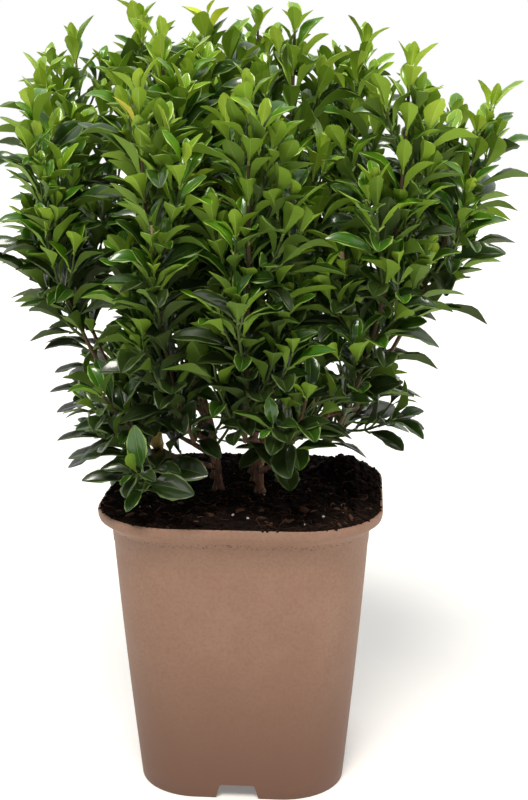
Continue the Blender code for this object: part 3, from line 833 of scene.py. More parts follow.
    def bough(self, stem: Run, share: float, end: Vector, rise_deg: float) -> Run:
        """A bough that starts in its stem's side and runs to its end.

        Args:
            stem: The stem.
            share: How far up the stem it starts.
            end: The middle of its tip.
            rise_deg: How steeply it leaves the stem.

        Returns:
            Its run.
        """
        point, stem_way, stem_radius = stem.at(stem.length * share)
        level = Vector((end.x - point.x, end.y - point.y, 0)).normalized()
        rise = math.radians(rise_deg)
        way = level * math.cos(rise) + UP * math.sin(rise)
        slant = way.dot(stem_way)
        gap = (stem_radius + self.clear + self.bough_radius * slant) / math.sqrt(1 - slant**2)
        start = point + way * gap
        bend = start.lerp(start + way * (end - start).length, 0.5)
        points = [point + way * (stem_radius * self.sunk)] + bezier(start, bend, end, self.fine_points)
        return Run.tapering(points, self.bough_radius, self.bough_tip_radius, end - start)

    def leader(self, limb: Run, tip: Vector, belly: float) -> Run:
        """A leader that carries on from a limb's tip, bows out and ends upright.

        Args:
            limb: The limb.
            tip: The leader's tip.
            belly: How far it bows out, as a share of its reach.

        Returns:
            Its run.
        """
        way = (limb.points[-1] - limb.points[-2]).normalized()
        start = limb.points[-1] + way * self.clear
        ahead = start + way * self.straight
        level = Vector((tip.x - ahead.x, tip.y - ahead.y, 0))
        bend = ahead + level * belly + UP * ((tip.z - ahead.z) * self.bend_height)
        foot = limb.points[-1] - way * self.straight * self.tail
        points = [foot, *bezier(ahead, bend, tip, self.fine_points)]
        return Run.tapering(points, self.leader_radius, self.leader_tip_radius, tip - start)

    def add_stem(self, number: int, degrees: float) -> None:
        """One stem of the ring, with its top mass, two side boughs and a low bough.

        Args:
            number: Its number in the ring.
            degrees: Its turn.
        """
        lift = self.draws.uniform(-self.lift, self.lift)
        foot = self.polar(self.stem_ring, degrees, self.ground)
        stem = self.stem(foot, self.polar(self.stem_tip[0], degrees, self.stem_tip[1] + lift))
        self.limbs[f"stem_{number}"] = stem
        self.add_mass(f"{number}_top", stem, degrees + self.top_turn, self.top_tip, self.top_belly, 0.0)
        for side, turn, share in self.side_at:
            end = self.polar(self.side_end[0], degrees + turn, self.side_end[1] + lift)
            bough = self.bough(stem, share, end, self.side_rise)
            self.limbs[f"bough_{number}_{side}"] = bough
            belly = self.open_belly if number == self.open_stem else self.side_belly
            self.add_mass(f"{number}_{side}", bough, degrees + turn, self.side_tip, belly, 0.0)
        heading = degrees + self.draws.uniform(-self.low_turn, self.low_turn)
        end = self.polar(self.low_end[0], heading, self.low_end[1])
        bough = self.bough(stem, self.low_at, end, self.low_rise)
        self.limbs[f"bough_{number}_low"] = bough
        self.add_mass(f"{number}_low", bough, heading, self.low_tip, self.low_belly, self.low_droop)

    def add_mass(
        self, place: str, limb: Run, degrees: float, tip: Pair, belly: float, droop: float
    ) -> None:
        """A mass on a limb's tip. It reaches its ring's tip, swayed a little, or stands out more.

        Args:
            place: Where it is in the clump, which gives its node's name.
            limb: The limb that bears it.
            degrees: Its turn.
            tip: Its ring's tip.
            belly: How far its leader bows out.
            droop: How far its leaves hang down, in degrees.
        """
        out, up, turn = self.standouts.get(place, (0.0, 0.0, 0.0))
        reach = tip[0] + out + self.draws.uniform(-self.sway, self.sway)
        height = tip[1] + up + self.draws.uniform(-self.lift, self.lift)
        turned = degrees + turn + self.draws.uniform(-self.turn, self.turn)
        leader = self.leader(limb, self.polar(reach, turned, height), belly)
        bare = self.bare_feet.get(place, self.bare)
        self.masses.append(Mass(f"foliage_{place}", leader, droop, bare))


class Space:
    """Says which points belong to a mass: those nearer its leader than any other's, but for a shared
    border, clear of every limb and of the compost, and inside the solids' box."""

    lowest_leaf: float = 0.1725
    shared: float = 0.022
    limb_room: float = 0.0006
    leader_room: float = 0.0018

    def __init__(self, clump: Clump, low: Vector, high: Vector) -> None:
        """Takes the plant's measures.

        Args:
            clump: The limbs and leaders.
            low: Lowest corner of the solids' box.
            high: Highest corner of the solids' box.
        """
        leaders = [mass.leader for mass in clump.masses]
        self.owner_count = len(leaders)
        self.leaders = self.steps(leaders)
        self.owners = np.repeat(np.arange(len(leaders)), [len(run.points) - 1 for run in leaders])
        self.limbs = self.steps(list(clump.limbs.values()))
        self.limb_radii = np.array([radius for run in clump.limbs.values() for radius in run.radii[:-1]])
        self.low, self.high = np.array(low), np.array(high)

    @staticmethod
    def steps(runs: list[Run]) -> tuple[np.ndarray, np.ndarray]:
        """The steps from point to point of some runs.

        Args:
            runs: The runs.

        Returns:
            The steps' starts and their ends.
        """
        starts = [point for run in runs for point in run.points[:-1]]
        ends = [point for run in runs for point in run.points[1:]]
        return np.array(starts), np.array(ends)

    @staticmethod
    def distances(points: np.ndarray, steps: tuple[np.ndarray, np.ndarray]) -> np.ndarray:
        """How far points are from steps.

        Args:
            points: The points, one row each.
            steps: The steps' starts and their ends.

        Returns:
            The distance from each point, by row, to each step.
        """
        starts, ends = steps
        ways = ends - starts
        offsets = points[:, None, :] - starts[None]
        shares = np.clip((offsets * ways).sum(2) / (ways * ways).sum(1), 0, 1)
        return np.linalg.norm(offsets - shares[..., None] * ways, axis=2)

    def holds(self, owner: int, spots: list[Vector], margin: float) -> bool:
        """Tells whether spots lie in a mass's space.

        Args:
            owner: The mass's number. One past the masses is a limb, which may use any mass's space.
            spots: The spots.
            margin: How far inside they have to be.

        Returns:
            True if all of them do.
        """
        points = np.array(spots)
        if (points[:, 2] < self.lowest_leaf + margin).any():
            return False
        if (points < self.low).any() or (points > self.high).any():
            return False
        if (self.distances(points, self.limbs) < self.limb_radii + self.limb_room + margin).any():
            return False
        if owner >= self.owner_count:
            return True
        reaches = self.distances(points, self.leaders)
        own = reaches[:, self.owners == owner].min(1)
        others = reaches[:, self.owners != owner].min(1)
        return bool((others > np.maximum(own - self.shared, self.leader_room)).all())


class Crowd:
    """All that has grown so far, so that a new leaf can be kept from cutting through it."""

    def __init__(self, room: int) -> None:
        """Makes room for this many shapes."""
        self.trees: list[BVHTree] = []
        self.balls = np.zeros((room, 4))

    def add(self, tree: BVHTree, spots: list[Vector]) -> int:
        """Adds a shape.

        Args:
            tree: Its search tree.
            spots: Its corners.

        Returns:
            Its number.
        """
        self.balls[len(self.trees)] = self.ball(spots)
        self.trees.append(tree)
        return len(self.trees) - 1

    @staticmethod
    def ball(spots: list[Vector]) -> np.ndarray:
        """A ball round some spots.

        Args:
            spots: The spots.

        Returns:
            Its middle and its radius, as one row of four.
        """
        points = np.array(spots)
        middle = points.mean(0)
        return np.append(middle, np.linalg.norm(points - middle, axis=1).max())

    def is_free(self, tree: BVHTree, spots: list[Vector], home: int) -> bool:
        """Tells whether a new shape is clear of the others.

        Args:
            tree: Its search tree.
            spots: Its corners.
            home: Number of the shape that it grows from, which it may cut.

        Returns:
            True if it cuts nothing else that has grown.
        """
        ball = self.ball(spots)
        grown = self.balls[: len(self.trees)]
        apart = np.linalg.norm(grown[:, :3] - ball[:3], axis=1)
        near = np.nonzero(apart < grown[:, 3] + ball[3])[0]
        return not any(tree.overlap(self.trees[index]) for index in near if index != home)


@dataclass
class LeafForm:
    """The shape of one leaf of unit length along +X, its upper side up.

    Attributes:
        rise: How steeply it leaves its petiole, in degrees.
        recurve: How many degrees it has bent down at its tip.
        fold: How far each half is raised along the midrib, in degrees.
        twist: How many degrees its tip is turned about its midrib.
        sweep: How far its tip leans aside, as a share of its length.
        wave: Where along the margin its waves begin, in turns.
        slim: Its width, as a share of the usual.
        rows: Shares of its length at which its corners lie.
        fullness: How pointed the outline is, at the base and at the tip.
        margin: Where the pale margin begins, as a share of the half width.
        belly: How far each half is arched, as a share of the half width.
    """

    rise: float
    recurve: float
    fold: float
    twist: float
    sweep: float
    wave: float
    slim: float

    rows: tuple[float, ...] = (0.0, 0.17, 0.38, 0.60, 0.82, 1.0)
    petiole: float = 0.10
    late_bend: float = 1.4
    half_width: float = 0.206
    widest: float = 1.24
    fullness: Pair = (0.96, 0.70)
    blunt: float = 0.11
    margin: float = 0.940
    rib: float = 0.030
    margin_roll: float = 0.9
    belly: float = 0.42
    wave_height: float = 0.12
    wave_count: float = 1.6
    fold_eases: float = 0.6
    tooth: float = 0.090
    toothed_from: float = 0.25
    thickness: float = 0.020
    stalk_radius: float = 0.024
    stalk_row: float = 0.33

    def width_at(self, share: float) -> float:
        """Half the blade's width.

        Args:
            share: The share of its length.

        Returns:
            The half width there.
        """
        power = self.fullness[0] + (self.fullness[1] - self.fullness[0]) * share
        curve = max(math.sin(math.pi * min(share, 1.0) ** self.widest), 0.0) ** power
        return self.half_width * self.slim * max(curve, self.blunt)

    def spine(self) -> list[tuple[Vector, Vector, Vector]]:
        """The midrib.

        Returns:
            Its place, forward and upward direction at each row.
        """
        steps, place, last = [], Vector((self.petiole, 0, 0)), 0.0
        for share in self.rows:
            pitch = math.radians(self.rise - (self.rise + self.recurve) * share**self.late_bend)
            forward = Vector((math.cos(pitch), 0, math.sin(pitch)))
            place = place + forward * (share - last) * (1 - self.petiole)
            last = share
            steps.append((place, forward, Vector((-forward.z, 0, forward.x))))
        return steps

    def point(self, row: float, across: float, tooth: float = 0.0) -> Vector:
        """A point of the upper side.

        Args:
            row: Row number, which may lie between two rows.
            across: From -1 at the right edge to 1 at the left.
            tooth: How much further out the point stands, as a share of the width.

        Returns:
            The point.
        """
        steps = self.spine()
        low = min(int(row), len(steps) - 2)
        part = row - low
        share = self.rows[low] + part * (self.rows[low + 1] - self.rows[low])
        place = steps[low][0].lerp(steps[low + 1][0], part)
        upper = steps[low][2].lerp(steps[low + 1][2], part).normalized()
        width = self.width_at(share) * (1 + tooth)
        fold = math.radians(self.fold) * (1 - self.fold_eases * share)
        turn = math.radians(self.twist) * share * (1 if across > 0 else -1)
        reach = abs(across) * width
        waving = math.sin(2 * math.pi * (self.wave_count * share + self.wave * (2 if across > 0 else 1)))
        up = reach * math.sin(fold + turn) + self.wave_height * width * abs(across) ** 3 * waving
        up += self.belly * width * abs(across) * (1 - abs(across))
        up -= self.margin_roll * width * max(abs(across) - self.margin, 0)
        side = math.copysign(reach * math.cos(fold + turn), across) if across else 0.0
        return place + Vector((0, side + self.sweep * share**2, 0)) + upper * up

    def shape(self) -> Shape:
        """The leaf as a closed thin shell, with its petiole as a three-sided stalk.

        The upper side has a pale midrib, two arched halves and two pale serrated margins. The
        underside hangs from the margins to a pale keel under the midrib.

        Returns:
            The shape, with material 0 above, 1 where it is pale and 2 below.
        """
        last = len(self.rows) - 1
        places: list[Vector] = []
        made: dict[Pair, int] = {}

        def corner(row: float, across: float, tooth: float = 0.0) -> int:
            """A corner of the upper side, made when first asked for.

            Args:
                row: Row number.
                across: From -1 at the right edge to 1 at the left.
                tooth: How much further out it stands.

            Returns:
                Its number.
            """
            if (row, across) not in made:
                made[(row, across)] = len(places)
                places.append(self.point(row, across, tooth))
            return made[(row, across)]

        def rib(row: int, hand: int) -> int:
            """Number of the midrib's corner on one side. At both ends the two sides meet."""
            return corner(row, 0.0 if row in (0, last) else hand * self.rib)

        keel = {(row, hand): corner(row, 0.0) for row in (0, last) for hand in (1, -1)}
        for row in range(1, last):
            for hand in (1, -1):
                keel[(row, hand)] = len(places)
                side = Vector((0, hand * self.half_width * self.rib, 0))
                places.append(self.point(row, 0.0) + side - self.spine()[row][2] * self.thickness)
        faces, numbers = [], []
        blade, pale, under = 0, 1, 2
        for row in range(last):
            strip = (rib(row, -1), rib(row + 1, -1), rib(row + 1, 1), rib(row, 1))
            lower = (keel[(row, 1)], keel[(row + 1, 1)], keel[(row + 1, -1)], keel[(row, -1)])
            faces += [tuple(dict.fromkeys(strip)), tuple(dict.fromkeys(lower))]
            numbers += [pale, pale]
            tooth = self.tooth if self.rows[row] > self.toothed_from else 0.0
            for hand in (1, -1):
                rim = corner(row, hand), corner(row + 0.5, hand, tooth), corner(row + 1, hand)
                inner = corner(row, hand * self.margin), corner(row + 1, hand * self.margin)
                ends = [inner[1]] if row + 1 == last else []
                starts = [inner[0]] if row == 0 else []
                middle = rib(row, hand), rib(row + 1, hand)
                arch = [corner(row, hand * 0.5)] if row > 0 else []
                after = [corner(row + 1, hand * 0.5)] if row + 1 < last else []
                sides = [
                    ([*middle, *after, *arch], blade),
                    ([*(arch or middle[:1]), *(after or middle[1:]), inner[1], inner[0]], blade),
                    ([inner[0], inner[1], rim[2], rim[1], rim[0]], pale),
                    ([*rim, *ends, keel[(row + 1, hand)], keel[(row, hand)], *starts], under),
                ]
                for face, kind in sides:
                    faces.append(tuple(face if hand > 0 else reversed(face)))
                    numbers.append(kind)
        self.add_stalk(places, faces, numbers)
        return Shape(np.array([list(place) for place in places]), faces, numbers)

    def add_stalk(self, places: list[Vector], faces: list[Corners], numbers: list[int]) -> None:
        """Adds the petiole, from the twig's axis into the blade's base.

        Args:
            places: The leaf's corners so far.
            faces: Its faces so far.
            numbers: Its faces' material numbers so far.
        """
        stalk = tube_faces(2, 3, len(places))
        end = self.point(self.stalk_row, 0.0) - UP * (self.thickness * 0.5)
        for middle in (Vector((0, 0, 0)), end):
            for number in range(3):
                angle = math.radians(90 + 120 * number)
                ring = Vector((0, math.cos(angle), math.sin(angle) - 0.5)) * self.stalk_radius
                places.append(middle + ring)
        faces.extend(stalk)
        numbers.extend([1] * len(stalk))


@dataclass
class Leaf:
    """A grown leaf: the matrix that stands it in its place, how far up its shoot it stands, its height
    in the crown, its shoot's number, and its tint where that isn't its spray's."""

    place: Matrix
    youth: float
    height: float
    spray: int
    odd: str = ""


@dataclass
class Habit:
    """How a shoot branches and carries its leaves. Lengths are metres, angles degrees.

    A side shoot ends below its parent's tip, as the tip holds it back, so that every leader ends in
    a spike of its own. Low down the leaves spread level and turn their upper side to the light.

    Attributes:
        leader_on: How far a leader grows on past the solids' own, and a low one.
        twig_spacing: Distance between the twigs on a leader, and on a low one.
        stand_out: How much further from the pot's axis than its leader's tip a twig may reach.
        twig: Usual length and angle of a twig, and sprig those of a sprig, which grows on a twig.
        bearing: Most length of a shoot, as a share of what its parent has left, and how much it bends
            up. A low mass has its own, and its own angle.
        bend: Where a shoot bends, how much of its heading it keeps, and how far it goes on.
        thinner: Radius of a shoot's foot, as a share of its parent's there.
        leader_pairs: Distance between the pairs of leaves on a leader, and on other shoots.
        closing: How much steeper the leaves stand at a shoot's tip.
        low_spread: How much flatter the lowest leaves stand, and how much longer they are.
        lowest_pitch: How far down a leaf may point, as the fall of a unit step.
        sprout_spacing: Distance between the short shoots on a limb, and their reach.
        try_shrink: How much shorter a shoot is made for each try, and a leaf.
    """

    leader_on: Pair = (0.012, 0.001)
    leader_bare: float = 0.008
    twig_spacing: Pair = (0.0140, 0.0080)
    stand_out: float = 0.006
    twig: Pair = (0.060, 38.0)
    sprig: Pair = (0.032, 42.0)
    sprig_spacing: float = 0.022
    low_angle: float = 56.0
    angle_varies: float = 9.0
    length_varies: Pair = (0.75, 1.1)
    bearing: Pair = (0.82, 0.9)
    low_bearing: Pair = (1.20, 0.25)
    bend: Triple = (0.42, 0.35, 0.62)
    shoot_points: int = 6
    below_tip: float = 0.005
    least_length: float = 0.010
    twig_radius: float = 0.0010
    thinner: float = 0.85
    tip_radius: float = 0.0006
    twig_bare: float = 0.007
    leader_pairs: Pair = (0.0100, 0.0098)
    last_pair: float = 0.001
    leaf_length: float = 0.0300
    leaf_varies: Pair = (0.76, 1.16)
    leaf_angle: float = 53.0
    slope_varies: float = 14.0
    turn_varies: float = 10.0
    closing: float = 20.0
    low_spread: Pair = (16.0, 0.14)
    lowest_pitch: float = -0.20
    to_light: float = 2.0
    roll: float = 24.0
    young_shrink: float = 0.28
    tip_size: float = 0.72
    tip_share: float = 1.25
    clipped_share: float = 0.12
    sprout_spacing: Pair = (0.0090, 0.062)
    tries: int = 6
    try_turn: float = 47.0
    try_shrink: Pair = (0.08, 0.05)


@dataclass
class Shoot:
    """A grown shoot: its run, its number in the crowd, its order (0 for a leader, 1 for a twig and 2
    for a sprig) and its number in its mass."""

    run: Run
    home: int
    order: int
    spray: int


@dataclass
class Grower:
    """Grows one mass: side twigs round the leader, sprigs on those, then opposite pairs of leaves on
    all of them, each pair turned a quarter from the last. What would leave the mass's space or cut
    through what has grown is left out.

    Attributes:
        mass: The mass, or a limb that bears short shoots.
        index: Its number.
        home: Its leader's number in the crowd.
    """

    mass: Mass
    index: int
    home: int
    space: Space
    crowd: Crowd
    habit: Habit

    def __post_init__(self) -> None:
        """Seeds the draws, with nothing grown yet."""
        self.draws = random.Random(SEED * 1000 + self.index)
        self.reach = self.spread(self.mass.leader.points[-1])
        self.shoots: list[Shoot] = []
        self.leaves: list[Leaf] = []
        self.clipped: list[Run] = []

    def grow(self) -> None:
        """Grows the twigs and then the leaves."""
        habit = self.habit
        low = 1 if self.mass.droop else 0
        leader = Shoot(self.longer(self.mass.leader, habit.leader_on[low]), self.home, 0, 0)
        self.shoots.append(leader)
        twig_room = leader.run.length - self.mass.bare - habit.leader_bare
        self.branch(leader, self.mass.bare, twig_room, habit.twig_spacing[low])
        for shoot in list(self.shoots):
            room = shoot.run.length - habit.twig_bare * 2
            if shoot.order == 1 and room > habit.sprig_spacing / 2:
                self.branch(shoot, habit.twig_bare, room, habit.sprig_spacing)
        for shoot in self.shoots:
            self.add_pairs(shoot)

    def sprout(self) -> None:
        """Grows short leafy shoots out of a limb, below the masses."""
        habit = self.habit
        spacing, reach = habit.sprout_spacing
        self.reach = max(self.reach, reach)
        room = self.mass.leader.length - self.mass.bare - habit.twig_bare
        if room > 0:
            self.branch(Shoot(self.mass.leader, self.home, 1, 0), self.mass.bare, room, spacing)
        for shoot in self.shoots:
            self.add_pairs(shoot)

    @staticmethod
    def spread(point: Vector) -> float:
        """How far a point is from the pot's axis."""
        return math.hypot(point.x, point.y)

    @staticmethod
    def longer(run: Run, extra: float) -> Run:
        """A run carried on past its tip."""
        way = (run.points[-1] - run.points[-2]).normalized()
        return Run(run.points + [run.points[-1] + way * extra], run.radii + [run.radii[-1] * 0.8], run.axis)

    def branch(self, parent: Shoot, bare: float, room: float, spacing: float) -> None:
        """Side shoots along a shoot, each turned by the golden angle from the last.

        Args:
            parent: The shoot.
            bare: Its length below the first.
            room: Its length that bears them.
            spacing: The distance between two.
        """
        count = max(1, round(room / spacing))
        turn = self.draws.uniform(0, 360)
        for number in range(count):
            self.add_shoot(parent, bare + room * (number + 0.5) / count, turn)
            turn += GOLDEN_DEG

    def add_shoot(self, parent: Shoot, distance: float, turn: float) -> None:
        """A shoot that leaves another sideways and bends up, if one of a few tries is free.

        Args:
            parent: The other shoot.
            distance: How far up it the new one grows.
            turn: How far round it the new one grows.
        """
        habit = self.habit
        run, order = parent.run, parent.order + 1
        point, way, radius = run.at(distance)
        share, upward = habit.low_bearing if self.mass.droop else habit.bearing
        usual, angle = habit.twig if order == 1 else habit.sprig
        if self.mass.droop:
            angle = habit.low_angle
        bent, kept, onward = habit.bend
        for attempt in range(habit.tries):
            out = run.outward(way, turn + attempt * habit.try_turn)
            leaving = math.radians(angle + self.draws.uniform(-habit.angle_varies, habit.angle_varies))
            most = (run.length - distance) * share - habit.below_tip * (2 - order)
            length = min(usual, most) * self.draws.uniform(*habit.length_varies)
            length *= 1 - habit.try_shrink[0] * attempt
            if length < habit.least_length:
                return
            heading = way * math.cos(leaving) + out * math.sin(leaving)
            bend = point + heading * (length * bent)
            tip = bend + (heading * kept + UP * upward).normalized() * (length * onward)
            points = bezier(point, bend, tip, habit.shoot_points)
            grown = Run.tapering(points, min(habit.twig_radius, radius * habit.thinner), habit.tip_radius)
            outer = points[1:]
            if self.spread(tip) > self.reach + habit.stand_out:
                continue
            tree, spots = self.tube_proxy(outer, habit.twig_radius)
            held = self.space.holds(self.index, outer, habit.twig_radius)
            if held and self.crowd.is_free(tree, spots, parent.home):
                self.shoots.append(Shoot(grown, self.crowd.add(tree, spots), order, len(self.shoots)))
                return

    @staticmethod
    def tube_proxy(points: list[Vector], radius: float) -> tuple[BVHTree, list[Vector]]:
        """A three-sided stand-in for a shoot, open at its ends, to test what cuts through it.

        Args:
            points: The line that it follows.
            radius: Its radius.

        Returns:
            Its search tree and its corners.
        """
        way = (points[-1] - points[0]).normalized()
        side = way.orthogonal().normalized()
        other = way.cross(side)
        turns = [math.radians(120 * number) for number in range(3)]
        ways = [(side * math.cos(turn) + other * math.sin(turn)) * radius for turn in turns]
        spots = [point + step for point in points for step in ways]
        return BVHTree.FromPolygons(spots, tube_faces(len(points), 3)[:-2]), spots

    def add_pairs(self, shoot: Shoot) -> None:
        """Opposite pairs of leaves up a shoot, with a small young pair or a clipped end at its tip.

        Args:
            shoot: The shoot.
        """
        habit = self.habit
        length = shoot.run.length
        bare = self.mass.bare if shoot.order == 0 else habit.twig_bare
        count = max(1, round((length - bare) / habit.leader_pairs[min(shoot.order, 1)]))
        quarter = self.draws.choice((0, 90))
        for number in range(count + 1):
            share = number / count
            distance = bare + (length - bare - habit.last_pair) * share
            for half_turn in (0, 180):
                turn = 45 + quarter + 90 * number + half_turn
                self.add_leaf(shoot, distance, share, turn, 1.0)
        if shoot.order < 2 and self.draws.random() < habit.clipped_share and shoot.spray:
            self.clipped.append(shoot.run)
            return
        for half_turn in (0, 180):
            turn = 45 + quarter + 90 * (count + 1) + half_turn
            self.add_leaf(shoot, length, habit.tip_share, turn, habit.tip_size)

    def add_leaf(self, shoot: Shoot, distance: float, share: float, turn: float, small: float) -> None:
        """A leaf out of a shoot's side, if one of a few tries is free. Higher leaves of a shoot stand
        steeper and are smaller.

        Args:
            shoot: The shoot.
            distance: How far up the shoot it grows.
            share: The same as a share of the shoot, and past 1 for the last pair.
            turn: How far round the shoot it grows.
            small: Its size, as a share of the usual.
        """
        habit = self.habit
        flatter, longer = habit.low_spread
        point, way, _ = shoot.run.at(distance)
        shrink = 1 - habit.young_shrink * min(share, 1.0) ** 3
        low_down = max(0.0, 1 - (point.z - CROWN_FOOT) / CROWN_DEEP) ** 2
        size = habit.leaf_length * self.draws.uniform(*habit.leaf_varies) * shrink * small
        size *= 1 + longer * low_down
        for attempt in range(habit.tries):
            aside = self.draws.uniform(-habit.turn_varies, habit.turn_varies) * (1 + attempt)
            out = shoot.run.outward(way, turn + aside)
            slope = habit.leaf_angle - habit.closing * share
            slope += self.draws.uniform(-habit.slope_varies, habit.slope_varies)
            slope = math.radians(slope + self.mass.droop + flatter * low_down)
            tried = size * (1 - habit.try_shrink[1] * attempt)
            place = self.leaf_place(point, way, out, slope, tried, low_down)
            spots = [place @ spot for spot in PROXY_SPOTS]
            tree = BVHTree.FromPolygons(spots, PROXY_FACES)
            if self.space.holds(self.index, spots[1:], 0) and self.crowd.is_free(tree, spots, shoot.home):
                height = (spots[3].z - CROWN_FOOT) / CROWN_DEEP
                self.leaves.append(Leaf(place, share, height, shoot.spray))
                self.crowd.add(tree, spots)
                return

    def leaf_place(
        self, point: Vector, way: Vector, out: Vector, slope: float, size: float, low_down: float
    ) -> Matrix:
        """Stands the unit leaf on a run's axis, its upper side towards the tip, and low down more
        towards the sky.

        Args:
            point: The point of the axis.
            way: The run's direction there.
            out: The direction out of the run's side.
            slope: The leaf's angle to the run.
            size: Its length.
            low_down: How low it stands in the crown, from 0 to 1.

        Returns:
            The matrix that does it.
        """
        forward = way * math.cos(slope) + out * math.sin(slope)
        forward.z = max(forward.z, self.habit.lowest_pitch)
        forward.normalize()
        upper = way * math.sin(slope) - out * math.cos(slope)
        side = (upper + UP * (self.habit.to_light * low_down)).cross(forward).normalized()
        frame = Matrix((forward, side, forward.cross(side))).transposed().to_4x4()
        roll = Matrix.Rotation(math.radians(self.draws.uniform(-self.habit.roll, self.habit.roll)), 4, "X")
        return Matrix.Translation(point) @ frame @ roll @ Matrix.Scale(size, 4)


# A leaf's stand-in for the tests: near the root, edges, tip and middle of a usual leaf
USUAL_LEAF = LeafForm(rise=20, recurve=38, fold=26, twist=0, sweep=0, wave=0, slim=0.84)
PROXY_SPOTS = [
    USUAL_LEAF.point(0.4, 0.0),
    USUAL_LEAF.point(2.9, 0.9),
    USUAL_LEAF.point(2.9, -0.9),
    USUAL_LEAF.point(4.8, 0.0),
    USUAL_LEAF.point(2.9, 0.0),
]
PROXY_FACES = [(0, 4, 1), (0, 2, 4), (4, 3, 1), (4, 2, 3)]


@dataclass
class Foliage:
    """The masses of foliage: joined twigs, and joined leaves dealt out by tint.

    Attributes:
        form_count: How many differently bent leaves all others are copied from.
        flatter: How far the lowest leaves, and the youngest, keep to the flattest forms.
        young_from: The youth from which a leaf is flatter.
        tints: The least light that gives each tint, the lightest first.
        painted_shade_by_height: How much height in the crown lightens a leaf, and how much more at a
            shoot's tip.
        This is painted light and shade: lower leaves get darker tints, as less light falls there.
        flushed: The mass whose leader ends in lime leaves, from this youth on.
        odd_leaves: Tints of single leaves, each the nearest to a place.
        bare_foot: How far up a stem, and a bough, no short shoot grows.
    """

    habit: Habit = field(default_factory=Habit)
    twig_sides: int = 6
    twig_crease: float = 60.0
    form_count: int = 14
    rise: Pair = (12, 30)
    recurve: Pair = (6, 54)
    fold: Pair = (20, 50)
    twist: float = 12
    sweep: float = 0.06
    slim: Pair = (0.80, 1.04)
    flatter: Pair = (0.85, 0.8)
    young_from: float = 0.5
    leaf_crease: float = 28.0
    stub: Triple = (0.0016, 0.0024, 0.0013)
    stub_neck: float = 0.85
    stub_crease: float = 40.0
    tints: tuple[tuple[str, float], ...] = (
        ("fresh", 1.12),
        ("leafy", 0.82),
        ("green", 0.50),
        ("deep", 0.24),
    )
    painted_shade_by_height: Pair = (0.55, 0.55)
    by_youth: float = 0.20
    by_spray: float = 0.14
    by_chance: float = 0.24
    flushed: tuple[str, float] = ("foliage_middle", 0.92)
    odd_leaves: tuple[tuple[str, Triple], ...] = (
        ("yellowed", (-0.0416, -0.0800, 0.3660)),
        ("withered", (-0.0350, -0.0400, 0.1900)),
        ("fresh", (-0.0096, -0.0950, 0.2830)),
    )
    bare_foot: Pair = (0.022, 0.012)
    bare_limbs: tuple[str, ...] = ("stem_1", "bough_1_low", "bough_1_left", "bough_1_right")
    piece_leaves: int = 1100
    room: int = 20000

    def build(self, clump: Clump, low: Vector, high: Vector) -> None:
        """Grows every mass and makes its pieces.

        Args:
            clump: The limbs and leaders that it grows on.
            low: Lowest corner of the solids' box.
            high: Highest corner of the solids' box.
        """
        space = Space(clump, low, high)
        crowd = Crowd(self.room)
        homes = []
        for run in [*clump.limbs.values(), *(mass.leader for mass in clump.masses)]:
            homes.append(crowd.add(*Grower.tube_proxy(run.points, run.radii[0])))
        growers = []
        for index, mass in enumerate(clump.masses):
            grower = Grower(mass, index, homes[len(clump.limbs) + index], space, crowd, self.habit)
            grower.grow()
            growers.append(grower)
        for number, (name, limb) in enumerate(clump.limbs.items()):
            if name in self.bare_limbs:
                continue
            bare = self.bare_foot[0 if name.startswith("stem") else 1]
            bearer = Mass(name, limb, clump.low_droop, bare)
            grower = Grower(bearer, len(clump.masses) + number, homes[number], space, crowd, self.habit)
            grower.sprout()
            growers.append(grower)
        nodes = [mass.node for mass in clump.masses]
        self.build_twigs(growers, nodes)
        self.build_leaves(growers, nodes)

    def build_twigs(self, growers: list[Grower], nodes: list[str]) -> None:
        """Joins all leaders, twigs and sprigs: brown where they are old, green where young. Clipped
        shoots get a dry cut end.

        Args:
            growers: What has grown.
            nodes: The masses' nodes.
        """
        shoots = [shoot for grower in growers for shoot in grower.shoots]
        woody = [shoot.run.tube(self.twig_sides) for shoot in shoots if shoot.order == 0]
        green = [shoot.run.tube(self.twig_sides) for shoot in shoots if shoot.order > 0]
        stubs = [self.cut_end(run) for grower in growers for run in grower.clipped]
        for name, shapes, crease, finish in (
            ("twigs_woody", woody, self.twig_crease, TWIG_BROWN),
            ("twigs_green", green, self.twig_crease, TWIG_GREEN),
            ("clipped_tips", stubs, self.stub_crease, CUT_WOOD),
        ):
            joined(name, shapes, crease, [finish.build()], nodes)

    def cut_end(self, run: Run) -> Shape:
        """The dry cut end of a shoot that has been clipped.

        Args:
            run: The shoot.

        Returns:
            Its shape.
        """
        inside, outside, radius = self.stub
        tip = run.points[-1]
        way = (tip - run.points[-2]).normalized()
        radii = [radius * self.stub_neck, radius]
        return Run([tip - way * inside, tip + way * outside], radii, way).tube(self.twig_sides)

    def forms(self, draws: random.Random) -> list[Shape]:
        """A few differently bent leaves, from which every leaf is copied.

        Args:
            draws: The seeded draws.

        Returns:
            Their shapes, the flattest first.
        """
        made = []
        flat, bent = self.recurve
        for number in range(self.form_count):
            form = LeafForm(
                rise=draws.uniform(*self.rise),
                recurve=flat + (bent - flat) * number / (self.form_count - 1),
                fold=draws.uniform(*self.fold),
                twist=draws.uniform(-self.twist, self.twist),
                sweep=draws.uniform(-self.sweep, self.sweep),
                wave=draws.random(),
                slim=draws.uniform(*self.slim),
            )
            made.append(form.shape())
        return made

